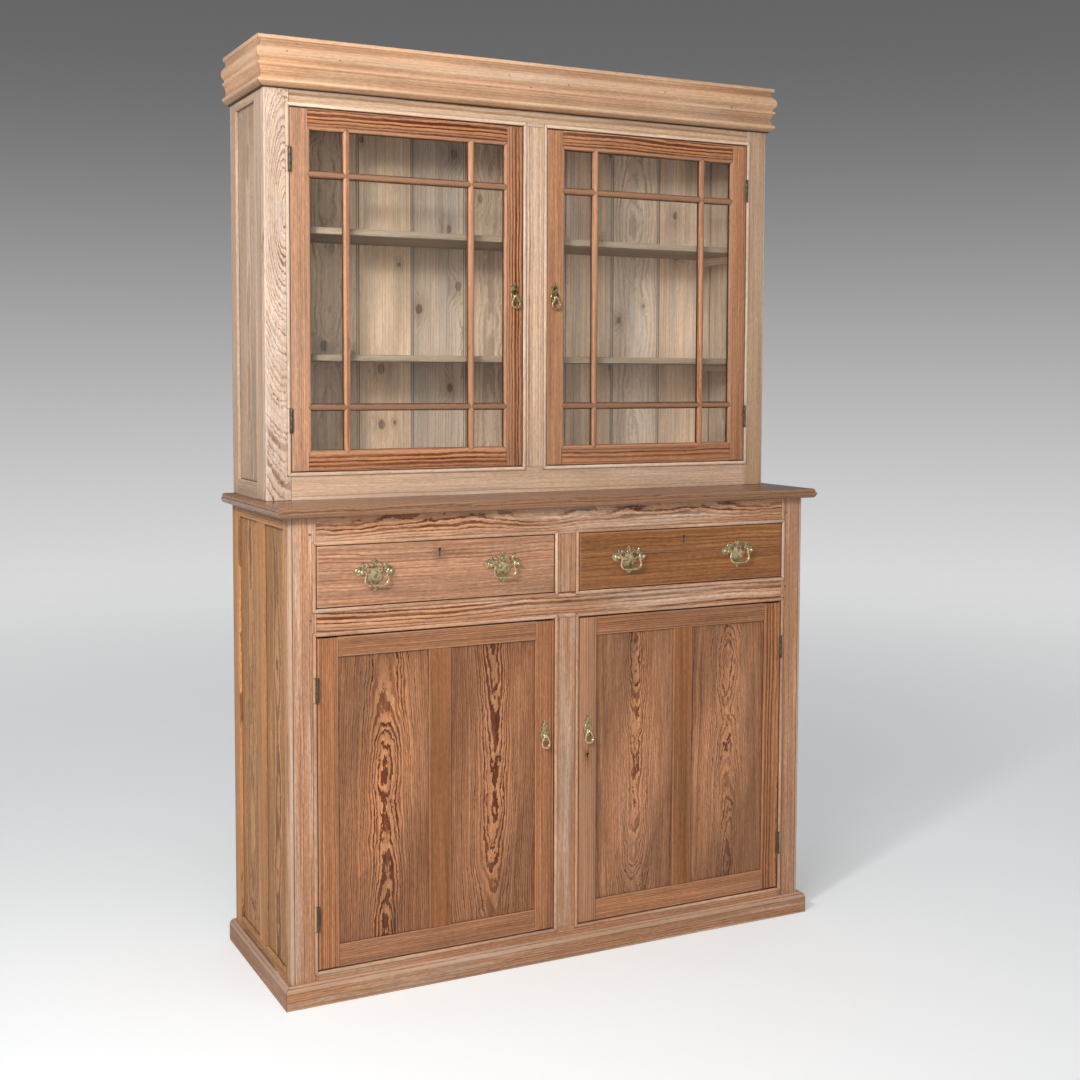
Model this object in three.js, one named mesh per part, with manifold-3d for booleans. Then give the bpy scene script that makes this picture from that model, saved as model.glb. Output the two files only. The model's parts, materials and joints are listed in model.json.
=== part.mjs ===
// Step back cupboard: a panelled base with two drawers and two doors, and a shallower glazed top.
// Millimetres, +Z up, front towards -Y, origin at the middle of the underside of the whole box.
import * as THREE from 'three';
import { mergeVertices } from 'three/addons/utils/BufferGeometryUtils.js';
import Module from 'manifold-3d';

const wasm = await Module();
wasm.setup();

// Case sizes
const baseWidth = 1268;
const baseDepth = 425;
const setBack = 163;
const upperInset = 3;
const faceFrameThick = 22;
const sideThick = 20;
const backThick = 12;
const floorBoardThick = 18;

// Base face frame, from the floor up
const basePost = 57;
const baseCentrePost = 60;
const baseBottomRail = 67;
const lowerDoorOpening = 698;
const middleRail = 57;
const drawerOpening = 130;
const baseTopRail = 59;

// Upper face frame, from the waist board up
const upperPost = 54;
const upperCentrePost = 60;
const upperBottomRail = 59;
const glazedDoorOpening = 770;
const friezeShown = 34;

// Beads on the face frames
const beadWidth = 8;
const beadProud = 3;
const beadRound = 1.5;
const cornerBead = 7;
const quirkWidth = 1.5;
const quirkDepth = 1.5;

// Plinth and waist board
const plinthHeight = 48;
const plinthThick = 16;
const plinthChamfer = 7;
const waistThick = 21;
const waistOverhang = 26;
const waistStep = 3;
const waistLip = 6;

// Cornice
const corniceHeight = 105;
const corniceTopBoard = 16;
const corniceTopRecess = 6;
const lipReach = 15;
const ovoloReach = 20;
const lowerLipReach = 17;
const coveReach = 9.5;
const grooveReach = 12.5;
const ovoloShoulder = 2;
const corniceFoot = 5;

// Frame and panel sides
const sideBackStile = 46;
const sideMuntin = 49;
const baseSideFrontStile = 36;
const baseSideTopRail = 27;
const baseSideBottomRail = 65;
const upperSideFrontStile = 71;
const upperSideBackStile = 42;
const upperSideTopRail = 100;
const upperSideBottomRail = 34;
const sidePanelRecess = 6;
const sidePanelInnerRecess = 5;

// Back boards
const backBoardCount = 9;
const backGrooveWidth = 3;
const backGrooveDepth = 2.5;

// Shelves, by the height of their upper faces over the waist board
const shelfThick = 14;
const shelfHeights = [311, 583];
const shelfFrontGap = 8;
const bearerHeight = 16;
const bearerThick = 12;
const bearerFrontGap = 30;

// Butt hinges
const hingeLength = 51;
const hingeEndInset = 85;
const leafThick = 0.85;
const leafGap = 0.5;
const leafSeat = 0.05;
const leafDepth = 14;
const pinProud = 3.4;
const barrelRadius = 3;
const pinRadius = 1.25;
const pinClearance = 0.3;
const barrelGap = 0.4;
const hingeNotchClearance = 0.5;

// Doors
const doorThick = 20;
const lowerDoorStile = 44;
const lowerDoorTopRail = 42;
const lowerDoorBottomRail = 47;
const lowerDoorMuntin = 49;
const doorPanelRecess = 4;
const doorPanelThick = 9;
const panelRebate = 6;
const panelFit = 0.5;
const glazedStile = 45;
const stickingWidth = 7;
const stickingDepth = 6;
const barWidth = 16;
const barInset = 138.5;
const uprightBarInset = 127.5;
const glassSetBack = 11;
const glassThick = 3;
const glassRebate = 6;

// Drawers
const drawerGap = 2;
const runnerClearance = 0.4;
const drawerFrontThick = 20;
const drawerSideThick = 10;
const drawerBackThick = 10;
const drawerBottomThick = 6;
const drawerBottomLift = 8;
const drawerSideHeight = 112;
const drawerBackClearance = 17;
const runnerThick = 20;
const runnerWidth = 24;
const guideHeight = 18;
const guideClearance = 1;
const kickerThick = 20;

// Keyholes
const keyholeRadius = 3.25;
const keyholeSlotWidth = 3;
const drawerKeyholeSlot = 15.5;
const doorKeyholeSlot = 9;
const keyholeDepth = 9;
const drawerKeyholeDrop = 20.5;

// Drawer pulls
const pullInset = 127;
const pullAxisRise = 6;
const postSpacing = 64;
const plateThick = 1.5;
const postRadius = 2.75;
const postHeadRadius = 4.25;
const pullReach = 12;
const bailRadius = 1.8;
const bailDrop = 27.5;
const bailBoreClearance = 0.3;
const bailBorePastPost = 1;
const pullPlateTop = 27;
const pullPlateBottom = 42;
const lobeRadius = 10.5;

// Drop pulls of the doors
const dropReach = 8;
const dropPostRadius = 2.5;
const dropHeadRadius = 3.75;
const dropLoopRadius = 1.5;
const dropLoopWidth = 20;
const dropLoopHeight = 26;
const dropPlateTop = 35;
const dropPlateBottom = 14;
const dropPlateHalfWidth = 10.5;
const lowerDropHeight = 439;
const upperDropHeight = 387;
const doorKeyholeUnderDrop = 54;

// How finely round shapes are cut, and how far a cut runs past a face
const barrelSides = 8;
const pinSides = 8;
const headSides = 8;
const tubeQuarterPoints = 2;
const keyholePoints = 5;
const bailSteps = 26;
const loopSteps = 20;
const overrun = 2;
const mergeTolerance = 1e-4;

// Cornice outline from its foot up, as a named reach with its share of the height
const corniceShares = [
  [corniceFoot, 0],
  [lowerLipReach, 0.095],
  [lowerLipReach, 0.15],
  [coveReach, 0.22],
  [coveReach, 0.3],
  [grooveReach, 0.39],
  [lowerLipReach, 0.43],
  [lowerLipReach, 0.47],
  [grooveReach, 0.49],
  [grooveReach, 0.53],
  [ovoloReach - ovoloShoulder, 0.58],
  [ovoloReach, 0.66],
  [ovoloReach - ovoloShoulder, 0.74],
  [coveReach, 0.82],
  [coveReach, 0.88],
  [lipReach, 0.93],
  [lipReach, 1],
];

// Right half of the drawer pull plate, in shares of half the post spacing and of its top or foot
const pullCrestShares = [
  [0, 1], [0.08, 0.88], [0.18, 0.8], [0.2, 0.68], [0.12, 0.6], [0.13, 0.46], [0.2, 0.38],
  [0.34, 0.46], [0.45, 0.6], [0.57, 0.56], [0.64, 0.4], [0.72, 0.5], [0.78, 0.68],
  [0.97, 0.79], [0.89, 0.56], [0.87, 0.42],
];
const pullSkirtShares = [
  [0.68, -0.1], [0.62, -0.24], [0.53, -0.37], [0.41, -0.48], [0.25, -0.6], [0.28, -0.69],
  [0.17, -0.85], [0, -1],
];
const pullPierceShares = [
  [0.31, 0.22], [0.42, 0.36], [0.54, 0.34], [0.61, 0.15], [0.55, -0.02], [0.42, -0.05],
  [0.32, 0.06],
];

// Lobe of the drawer pull plate round its post, in shares of the lobe radius
const lobeShares = [
  [0, 1], [0.7, 0.72], [0.98, 0.3], [1.33, 0], [0.98, -0.3], [0.7, -0.72], [0, -1],
  [-0.7, -0.72],
];

// Right half of the bail from its post to its foot, in shares of half the post spacing and the drop
const bailShares = [
  [1, 0], [0.92, 0], [0.855, 0], [0.785, 0.05], [0.725, -0.01], [0.715, -0.15], [0.755, -0.37],
  [0.79, -0.58], [0.74, -0.8], [0.56, -0.96], [0.28, -1],
];

// Right half of the drop pull plate, in shares of its half width and of its top or foot
const dropPlateShares = [
  [0, 1], [0.2, 0.92], [0.18, 0.8], [0.55, 0.7], [0.9, 0.63], [0.6, 0.5], [0.45, 0.42],
  [0.8, 0.28], [1, 0.12], [1, -0.1], [0.75, -0.45], [0.9, -0.8], [0.5, -1], [0, -0.9],
];

// Right half of the drop loop from its post to its foot, in shares of its half width and height
const dropLoopShares = [
  [0.05, 0], [0.28, 0], [0.46, -0.03], [0.66, -0.2], [0.88, -0.45], [1, -0.68], [0.82, -0.87],
  [0.4, -1],
];

// Rings of a round post head from its neck to its top, in shares of a quarter turn
const headTurnShares = [0.35, 0, -0.35, -0.7];

// Heights and depths worked out from the sizes
const baseHeight = baseBottomRail + lowerDoorOpening + middleRail + drawerOpening + baseTopRail;
const waistTop = baseHeight + waistThick;
const glazedOpeningFoot = waistTop + upperBottomRail;
const corniceBottom = glazedOpeningFoot + glazedDoorOpening + friezeShown;
const totalHeight = corniceBottom + corniceHeight;
const caseTop = totalHeight - corniceTopRecess - corniceTopBoard;
const drawerOpeningFoot = baseBottomRail + lowerDoorOpening + middleRail;
const drawerOpeningTop = drawerOpeningFoot + drawerOpening;
const halfBase = baseWidth / 2;
const halfUpper = halfBase - upperInset;
const backPlane = (baseDepth + waistOverhang) / 2;
const baseFace = backPlane - baseDepth;
const upperFace = baseFace + setBack;
const drawerTail = backThick + runnerWidth + drawerBackClearance;
const drawerBoxDepth = baseDepth - drawerFrontThick - drawerTail;
const doorGap = 2 * (leafThick + leafSeat) + leafGap;
const lowerOpeningWidth = (baseWidth - 2 * basePost - baseCentrePost) / 2;
const upperOpeningWidth = (2 * halfUpper - 2 * upperPost - upperCentrePost) / 2;
const lowerOpeningMiddle = (lowerOpeningWidth + baseCentrePost) / 2;
const upperOpeningMiddle = (upperOpeningWidth + upperCentrePost) / 2;

// Colours
const palePine = { color: 0xd6ab84, roughness: 0.65 };
const facePine = { color: 0xc4946f, roughness: 0.6 };
const redPine = { color: 0xb4764f, roughness: 0.5 };
const sidePine = { color: 0xa8835a, roughness: 0.65 };
const insidePine = { color: 0xa99a7e, roughness: 0.8 };
const waxedPine = { color: 0xa9805f, roughness: 0.35 };
const brass = { color: 0xc2ac72, roughness: 0.35, metalness: 1 };
const agedIron = { color: 0x5a5a48, roughness: 0.5, metalness: 0.8 };
const clearGlass = { color: 0xdfe8e4, roughness: 0.05, transparent: true, opacity: 0.3 };

// A box between two corners, each of its faces at exactly the given place
function box(x0, x1, y0, y1, z0, z1) {
  const geometry = new THREE.BoxGeometry();
  const corners = geometry.attributes.position;
  for (let index = 0; index < corners.count; index += 1) {
    corners.setXYZ(
      index,
      corners.getX(index) < 0 ? x0 : x1,
      corners.getY(index) < 0 ? y0 : y1,
      corners.getZ(index) < 0 ? z0 : z1,
    );
  }
  return geometry;
}

// A box between two places on X given in either order
function boxEitherWay(a, b, y0, y1, z0, z1) {
  return box(Math.min(a, b), Math.max(a, b), y0, y1, z0, z1);
}

// A geometry as a solid that can be joined and cut
function solid(geometry) {
  const bare = geometry.clone();
  bare.deleteAttribute('normal');
  bare.deleteAttribute('uv');
  const merged = mergeVertices(bare, mergeTolerance);
  const vertProperties = new Float32Array(merged.attributes.position.array);
  const triVerts = new Uint32Array(merged.index.array);
  return new wasm.Manifold(new wasm.Mesh({ numProp: 3, vertProperties, triVerts }));
}

// A solid with geometries joined to it
function add(whole, ...pieces) {
  return pieces.reduce((sum, piece) => sum.add(solid(piece)), whole);
}

// The first geometry with the others joined to it
function join(first, ...others) {
  return add(solid(first), ...others);
}

// A solid with geometries cut away
function cut(whole, ...pieces) {
  return pieces.reduce((rest, piece) => rest.subtract(solid(piece)), whole);
}

// A board between two depths with openings cut through it, each given as [x0, x1, z0, z1]
function pierced([x0, x1, z0, z1], front, back, openings) {
  const holes = openings.map(([a0, a1, c0, c1]) => box(
    a0, a1, front - overrun, back + overrun, c0, c1,
  ));
  return cut(solid(box(x0, x1, front, back, z0, z1)), ...holes);
}

// A solid as a geometry
function shell(whole) {
  const mesh = whole.getMesh();
  const geometry = new THREE.BufferGeometry();
  geometry.setAttribute('position', new THREE.BufferAttribute(mesh.vertProperties, 3));
  geometry.setIndex(new THREE.BufferAttribute(mesh.triVerts, 1));
  geometry.computeVertexNormals();
  return geometry;
}

// A named mesh with its own material, in a group
function place(group, name, geometry, finish) {
  const mesh = new THREE.Mesh(geometry, new THREE.MeshStandardMaterial(finish));
  mesh.name = name;
  group.add(mesh);
}

// A group at a place, added to its parent
function groupAt(parent, x, y, z) {
  const group = new THREE.Group();
  group.position.set(x, y, z);
  parent.add(group);
  return group;
}

// A shape drawn in X and Z, thickened from one depth to another
function plateXZ(shape, front, back) {
  const geometry = new THREE.ExtrudeGeometry(shape, {
    depth: back - front, bevelEnabled: false, curveSegments: keyholePoints,
  });
  return geometry.rotateX(Math.PI / 2).translate(0, back, 0);
}

// A closed surface through rings of equal size, with its first and last ring filled
function skin(rings) {
  const sides = rings[0].length;
  const points = rings.flat().flat();
  const faces = [];
  for (let ring = 0; ring + 1 < rings.length; ring += 1) {
    for (let side = 0; side < sides; side += 1) {
      const a = ring * sides + side;
      const b = ring * sides + ((side + 1) % sides);
      faces.push(a, b, b + sides, a, b + sides, a + sides);
    }
  }
  const last = (rings.length - 1) * sides;
  for (let side = 1; side + 1 < sides; side += 1) {
    faces.push(0, side + 1, side);
    faces.push(last, last + side, last + side + 1);
  }
  const geometry = new THREE.BufferGeometry();
  geometry.setAttribute('position', new THREE.Float32BufferAttribute(points, 3));
  geometry.setIndex(faces);
  geometry.computeVertexNormals();
  return geometry;
}

// A slab whose front and ends follow a profile of [reach, height], and whose back is flat
function mouldedSlab(halfWidth, face, profile) {
  return skin(profile.map(([reach, z]) => [
    [-halfWidth - reach, face - reach, z],
    [halfWidth + reach, face - reach, z],
    [halfWidth + reach, backPlane, z],
    [-halfWidth - reach, backPlane, z],
  ]));
}

// A ring round a rectangle in X and Z, with mitred corners and a profile of [outset, depth]
function mitredRing(x0, x1, z0, z1, profile) {
  const corners = [[x0, z0, -1, -1], [x1, z0, 1, -1], [x1, z1, 1, 1], [x0, z1, -1, 1]];
  const count = profile.length;
  const points = corners.flatMap(([x, z, right, up]) => profile.flatMap(
    ([outset, y]) => [x + right * outset, y, z + up * outset],
  ));
  const faces = [];
  for (let corner = 0; corner < corners.length; corner += 1) {
    for (let step = 0; step < count; step += 1) {
      const next = (step + 1) % count;
      const far = ((corner + 1) % corners.length) * count;
      const near = corner * count;
      faces.push(near + step, far + next, far + step, near + step, near + next, far + next);
    }
  }
  const geometry = new THREE.BufferGeometry();
  geometry.setAttribute('position', new THREE.Float32BufferAttribute(points, 3));
  geometry.setIndex(faces);
  geometry.computeVertexNormals();
  return geometry;
}

// The bead round one opening, standing proud of the face at depth zero
function openingBead(x0, x1, z0, z1, face) {
  const nose = face - beadProud;
  return mitredRing(x0, x1, z0, z1, [
    [0, face + overrun],
    [0, nose + beadRound],
    [beadRound, nose],
    [beadWidth - beadRound, nose],
    [beadWidth, nose + beadRound],
    [beadWidth, face + overrun],
  ]);
}

// Where the barrels of the two hinges of an opening stand, by their lowest and highest points
function hingeSpans(foot, height) {
  return [
    [foot + hingeEndInset, foot + hingeEndInset + hingeLength],
    [foot + height - hingeEndInset - hingeLength, foot + height - hingeEndInset],
  ];
}

// Notches in the bead for the barrels of the hinges on one edge of an opening
function barrelNotches(edge, postSide, foot, height, face) {
  const post = edge + postSide * (barrelRadius + hingeNotchClearance - doorGap / 2);
  const open = edge - postSide * overrun;
  return hingeSpans(foot, height).map(([low, high]) => boxEitherWay(
    open, post, face - beadProud - overrun, face,
    low - hingeNotchClearance, high + hingeNotchClearance,
  ));
}

// A square groove beside the bead of an outer corner, on the front and on the end
function cornerQuirks(halfWidth, side, face, foot, top) {
  const quirk = halfWidth - cornerBead - quirkWidth;
  const front = boxEitherWay(
    side * quirk, side * (quirk + quirkWidth), face - overrun, face + quirkDepth, foot, top,
  );
  const end = boxEitherWay(
    side * (halfWidth - quirkDepth), side * (halfWidth + overrun),
    face + cornerBead, face + cornerBead + quirkWidth, foot, top,
  );
  return [front, end];
}

// Plinth: three boards mitred round the foot of the base
function plinth() {
  const slab = mouldedSlab(halfBase, baseFace, [
    [plinthThick, 0],
    [plinthThick, plinthHeight - plinthChamfer],
    [plinthThick - plinthChamfer, plinthHeight],
  ]);
  const inside = box(
    -halfBase, halfBase, baseFace, backPlane + overrun, -overrun, plinthHeight + overrun,
  );
  return shell(cut(solid(slab), inside));
}

// A frame and panel side, with pockets where its panels lie
function framedSide(outer, inner, front, top, foot, panels, extras) {
  const away = Math.sign(outer);
  const board = join(boxEitherWay(outer, inner, front, backPlane, foot, top), ...extras);
  const pockets = panels.flatMap(([y0, y1, z0, z1]) => [
    boxEitherWay(outer - away * sidePanelRecess, outer + away * overrun, y0, y1, z0, z1),
    boxEitherWay(inner + away * sidePanelInnerRecess, inner - away * overrun, y0, y1, z0, z1),
  ]);
  return shell(cut(board, ...pockets));
}

// One side of the base, on the left for -1 and on the right for 1
function baseSide(side) {
  const panelFront = baseFace + baseSideFrontStile;
  const panelBack = backPlane - sideBackStile;
  const panelWidth = (panelBack - panelFront - sideMuntin) / 2;
  const low = baseSideBottomRail;
  const high = baseHeight - baseSideTopRail;
  return framedSide(
    side * halfBase, side * (halfBase - sideThick), baseFace + faceFrameThick, baseHeight, 0,
    [
      [panelFront, panelFront + panelWidth, low, high],
      [panelBack - panelWidth, panelBack, low, high],
    ],
    [],
  );
}

// One side of the upper case, with a bearer under each shelf
function upperSide(side) {
  const inner = halfUpper - sideThick;
  const bearers = shelfHeights.map((height) => {
    const top = waistTop + height - shelfThick;
    return boxEitherWay(
      side * (inner - bearerThick), side * (inner + overrun),
      upperFace + faceFrameThick + bearerFrontGap, backPlane - backThick,
      top - bearerHeight, top,
    );
  });
  return framedSide(
    side * halfUpper, side * inner, upperFace + faceFrameThick, caseTop, waistTop,
    [[
      upperFace + upperSideFrontStile, backPlane - upperSideBackStile,
      waistTop + upperSideBottomRail, caseTop - upperSideTopRail,
    ]],
    bearers,
  );
}

// A face frame with beaded openings given as [x0, x1, z0, z1, edge with hinges]
function faceFrame(halfWidth, face, foot, top, openings) {
  const board = pierced([-halfWidth, halfWidth, foot, top], face, face + faceFrameThick, openings);
  const beads = openings.map(([x0, x1, z0, z1]) => openingBead(x0, x1, z0, z1, face));
  const notches = openings.flatMap(([x0, x1, z0, z1, hung]) => {
    if (hung === 0) {
      return [];
    }
    return barrelNotches(hung < 0 ? x0 : x1, hung, z0, z1 - z0, face);
  });
  return cut(add(board, ...beads), ...notches);
}

// Base face frame, with beads on its outer corners
function baseFaceFrame() {
  const inner = baseCentrePost / 2;
  const outer = inner + lowerOpeningWidth;
  const doorTop = baseBottomRail + lowerDoorOpening;
  const frame = faceFrame(halfBase, baseFace, 0, baseHeight, [
    [-outer, -inner, baseBottomRail, doorTop, -1],
    [inner, outer, baseBottomRail, doorTop, 1],
    [-outer, -inner, drawerOpeningFoot, drawerOpeningTop, 0],
    [inner, outer, drawerOpeningFoot, drawerOpeningTop, 0],
  ]);
  const quirks = [-1, 1].flatMap(
    (side) => cornerQuirks(halfBase, side, baseFace, plinthHeight, baseHeight + overrun),
  );
  return shell(cut(frame, ...quirks));
}

// Upper face frame
function upperFaceFrame() {
  const inner = upperCentrePost / 2;
  const outer = inner + upperOpeningWidth;
  const top = glazedOpeningFoot + glazedDoorOpening;
  return shell(faceFrame(halfUpper, upperFace, waistTop, caseTop, [
    [-outer, -inner, glazedOpeningFoot, top, -1],
    [inner, outer, glazedOpeningFoot, top, 1],
  ]));
}

// Waist board, moulded on its front and ends
function waistBoard() {
  return mouldedSlab(halfBase, baseFace, [
    [waistOverhang - waistLip, baseHeight],
    [waistOverhang - waistLip / 4, baseHeight + waistLip],
    [waistOverhang, baseHeight + waistLip + waistStep],
    [waistOverhang, waistTop - waistLip - waistStep],
    [waistOverhang - waistStep, waistTop - waistLip - waistStep],
    [waistOverhang - waistStep, waistTop - waistLip],
    [waistOverhang - waistLip, waistTop],
  ]);
}

// The cornice outline as [reach, height], from its foot to its top
function corniceProfile() {
  return corniceShares.map(([reach, share]) => [reach, corniceBottom + share * corniceHeight]);
}

// Cornice: mouldings on the front and ends, with the top board that closes the case
function cornice() {
  const inside = box(
    -halfUpper, halfUpper, upperFace, backPlane + overrun, corniceBottom - overrun, caseTop,
  );
  const recess = box(
    -halfUpper, halfUpper, upperFace, backPlane + overrun,
    caseTop + corniceTopBoard, totalHeight + overrun,
  );
  return shell(cut(solid(mouldedSlab(halfUpper, upperFace, corniceProfile())), inside, recess));
}

// Vertical back boards of the upper case, with a groove at each joint
function upperBack() {
  const half = halfUpper - sideThick;
  const front = backPlane - backThick;
  const boardWidth = (2 * half) / backBoardCount;
  const board = join(box(-half, half, front, backPlane, waistTop, caseTop));
  const grooves = Array.from({ length: backBoardCount - 1 }, (_, index) => {
    const joint = -half + (index + 1) * boardWidth;
    return box(
      joint, joint + backGrooveWidth, front - overrun, front + backGrooveDepth,
      waistTop - overrun, caseTop + overrun,
    );
  });
  return shell(cut(board, ...grooves));
}

// A shelf of the upper case
function shelf(height) {
  const half = halfUpper - sideThick;
  const top = waistTop + height;
  return box(
    -half, half, upperFace + faceFrameThick + shelfFrontGap, backPlane - backThick,
    top - shelfThick, top,
  );
}

// Drawer frame: runners with guides, and kickers over them, tied by rails and posts at the back
function drawerFrame() {
  const front = baseFace + faceFrameThick;
  const back = backPlane - backThick;
  const wall = halfBase - sideThick;
  const opening = baseCentrePost / 2;
  const outer = opening + lowerOpeningWidth;
  const runnerFoot = drawerOpeningFoot - runnerThick;
  const kickerFoot = drawerOpeningTop;
  const guideTop = drawerOpeningFoot + guideHeight;
  const lanes = [
    [-wall, -outer + runnerWidth, -wall, -outer + drawerGap - guideClearance],
    [
      -opening - runnerWidth, opening + runnerWidth,
      -opening - drawerGap + guideClearance, opening + drawerGap - guideClearance,
    ],
    [outer - runnerWidth, wall, outer - drawerGap + guideClearance, wall],
  ];
  const strips = lanes.flatMap(([x0, x1, g0, g1]) => [
    box(x0, x1, front, back, runnerFoot, drawerOpeningFoot),
    box(g0, g1, front, back, runnerFoot, guideTop),
    box(x0, x1, front, back, kickerFoot, kickerFoot + kickerThick),
    box(g0, g1, back - runnerWidth, back, runnerFoot, kickerFoot + kickerThick),
  ]);
  const rails = [runnerFoot, kickerFoot].map(
    (foot) => box(-wall, wall, back - runnerWidth, back, foot, foot + runnerThick),
  );
  return shell(join(...rails, ...strips));
}

// A keyhole to cut in a face at depth zero, with its round part on top
function keyhole(x, z, slot) {
  const shape = new THREE.Shape();
  const half = keyholeSlotWidth / 2;
  const start = Math.asin(half / keyholeRadius) - Math.PI / 2;
  shape.absarc(0, 0, keyholeRadius, start, Math.PI - start, false);
  shape.lineTo(-half, -slot);
  shape.lineTo(half, -slot);
  shape.closePath();
  return plateXZ(shape, -overrun, keyholeDepth).translate(x, 0, z);
}

// Drawer front, centred on X, with its face at depth zero and its opening's foot at height zero
function drawerFront() {
  const half = lowerOpeningWidth / 2 - drawerGap;
  const board = solid(box(
    -half, half, 0, drawerFrontThick, drawerGap, drawerOpening - drawerGap,
  ));
  return shell(cut(board, keyhole(0, drawerOpening - drawerKeyholeDrop, drawerKeyholeSlot)));
}

// Drawer box behind its front: two sides, a back and a bottom
function drawerBox() {
  const half = lowerOpeningWidth / 2 - drawerGap;
  const back = drawerFrontThick + drawerBoxDepth;
  const foot = runnerClearance;
  const top = foot + drawerSideHeight;
  const body = box(-half, half, drawerFrontThick, back, foot, top);
  const inside = box(
    -half + drawerSideThick, half - drawerSideThick,
    drawerFrontThick - overrun, back - drawerBackThick,
    foot + drawerBottomLift + drawerBottomThick, top + overrun,
  );
  const under = box(
    -half + drawerSideThick, half - drawerSideThick,
    drawerFrontThick - overrun, back + overrun, foot - overrun, foot + drawerBottomLift,
  );
  return shell(cut(solid(body), inside, under));
}

// Lower door frame, centred on X, with its face at depth zero and its opening's foot at height zero
function lowerDoorFrame(withKeyhole, pullSide) {
  const half = lowerOpeningWidth / 2 - doorGap;
  const foot = doorGap;
  const top = lowerDoorOpening - doorGap;
  const inner = half - lowerDoorStile;
  const low = foot + lowerDoorBottomRail;
  const high = top - lowerDoorTopRail;
  const board = pierced([-half, half, foot, top], 0, doorThick, [
    [-inner, -lowerDoorMuntin / 2, low, high],
    [lowerDoorMuntin / 2, inner, low, high],
  ]);
  const whole = cut(board, box(
    -inner - panelRebate, inner + panelRebate, doorPanelRecess, doorThick + overrun,
    low - panelRebate, high + panelRebate,
  ));
  if (!withKeyhole) {
    return shell(whole);
  }
  const stileMiddle = pullSide * (half - lowerDoorStile / 2);
  const keyholeHeight = lowerDropHeight - doorKeyholeUnderDrop;
  return shell(cut(whole, keyhole(stileMiddle, keyholeHeight, doorKeyholeSlot)));
}

// The panel of a lower door, one board held in the rebate behind the muntin
function lowerDoorPanel() {
  const tongue = panelRebate - panelFit;
  const half = lowerOpeningWidth / 2 - doorGap - lowerDoorStile + tongue;
  return box(
    -half, half, doorPanelRecess, doorPanelRecess + doorPanelThick,
    doorGap + lowerDoorBottomRail - tongue, lowerDoorOpening - doorGap - lowerDoorTopRail + tongue,
  );
}

// The edges of the panes between the bars, along one direction
function paneEdges(low, high, barLow, barHigh) {
  const half = barWidth / 2;
  return [[low, barLow - half], [barLow + half, barHigh - half], [barHigh + half, high]];
}

// Glazed door frame with its bars, its inner edges moulded towards the glass
function glazedDoorFrame() {
  const half = upperOpeningWidth / 2 - doorGap;
  const foot = doorGap;
  const top = glazedDoorOpening - doorGap;
  const inner = half - glazedStile;
  const low = foot + glazedStile;
  const high = top - glazedStile;
  const barX = upperOpeningWidth / 2 - uprightBarInset;
  const columns = paneEdges(-inner, inner, -barX, barX);
  const rows = paneEdges(low, high, barInset, glazedDoorOpening - barInset);
  const panes = columns.flatMap(([x0, x1]) => rows.map(([z0, z1]) => [x0, x1, z0, z1]));
  const rebate = box(
    -inner - glassRebate, inner + glassRebate, glassSetBack, doorThick + overrun,
    low - glassRebate, high + glassRebate,
  );
  const board = pierced([-half, half, foot, top], 0, doorThick, panes);
  return shell(cut(board, rebate, ...panes.map((pane) => paneBevel(...pane))));
}

// The sloping cut round one pane, widening to the front
function paneBevel(x0, x1, z0, z1) {
  const slope = stickingWidth / stickingDepth;
  return skin([-overrun, stickingDepth].map((y) => {
    const outset = slope * (stickingDepth - y);
    return [
      [x0 - outset, y, z0 - outset],
      [x0 - outset, y, z1 + outset],
      [x1 + outset, y, z1 + outset],
      [x1 + outset, y, z0 - outset],
    ];
  }));
}

// The glass of one door, in one sheet behind the bars
function doorGlass() {
  const tongue = glassRebate - panelFit;
  const half = upperOpeningWidth / 2 - doorGap - glazedStile + tongue;
  return box(
    -half, half, glassSetBack, glassSetBack + glassThick,
    doorGap + glazedStile - tongue, glazedDoorOpening - doorGap - glazedStile + tongue,
  );
}

// An upright cylinder between two heights
function upright(radius, low, high, sides) {
  const geometry = new THREE.CylinderGeometry(radius, radius, high - low, sides);
  return geometry.rotateX(Math.PI / 2).translate(0, 0, (low + high) / 2);
}

// The heights of the three barrels of a hinge, from its foot
function barrelSpans() {
  const share = hingeLength / 3;
  return [[0, share], [share, 2 * share], [2 * share, hingeLength]];
}

// The fixed leaf of a hinge with two barrels and the pin, its pin on the Z axis
function frameLeaf(postSide) {
  const [foot, , head] = barrelSpans();
  const inner = postSide * leafGap / 2;
  const outer = postSide * (leafGap / 2 + leafThick);
  const back = pinProud + leafDepth;
  return shell(join(
    boxEitherWay(inner, outer, 0, back, foot[0], foot[1]),
    boxEitherWay(inner, outer, 0, back, head[0], head[1]),
    boxEitherWay(inner, outer, barrelRadius + pinClearance, back, foot[0], head[1]),
    upright(barrelRadius, foot[0], foot[1], barrelSides),
    upright(barrelRadius, head[0], head[1], barrelSides),
    upright(pinRadius, foot[0], head[1], pinSides),
  ));
}

// The moving leaf of a hinge with its barrel, bored for the pin
function doorLeaf(postSide) {
  const middle = barrelSpans()[1];
  const low = middle[0] + barrelGap;
  const high = middle[1] - barrelGap;
  const inner = -postSide * leafGap / 2;
  const outer = -postSide * (leafGap / 2 + leafThick);
  const back = pinProud + leafDepth;
  const whole = join(
    boxEitherWay(inner, outer, 0, back, low, high),
    boxEitherWay(inner, outer, barrelRadius + pinClearance, back, 0, hingeLength),
    upright(barrelRadius, low, high, barrelSides),
  );
  const bore = upright(pinRadius + pinClearance, low - overrun, high + overrun, pinSides);
  return shell(cut(whole, bore));
}

// Corners from shares of a width and of the height over or under zero
function fromShares(shares, width, over, under) {
  return shares.map(([x, z]) => [x * width, z * (z > 0 ? over : under)]);
}

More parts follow.
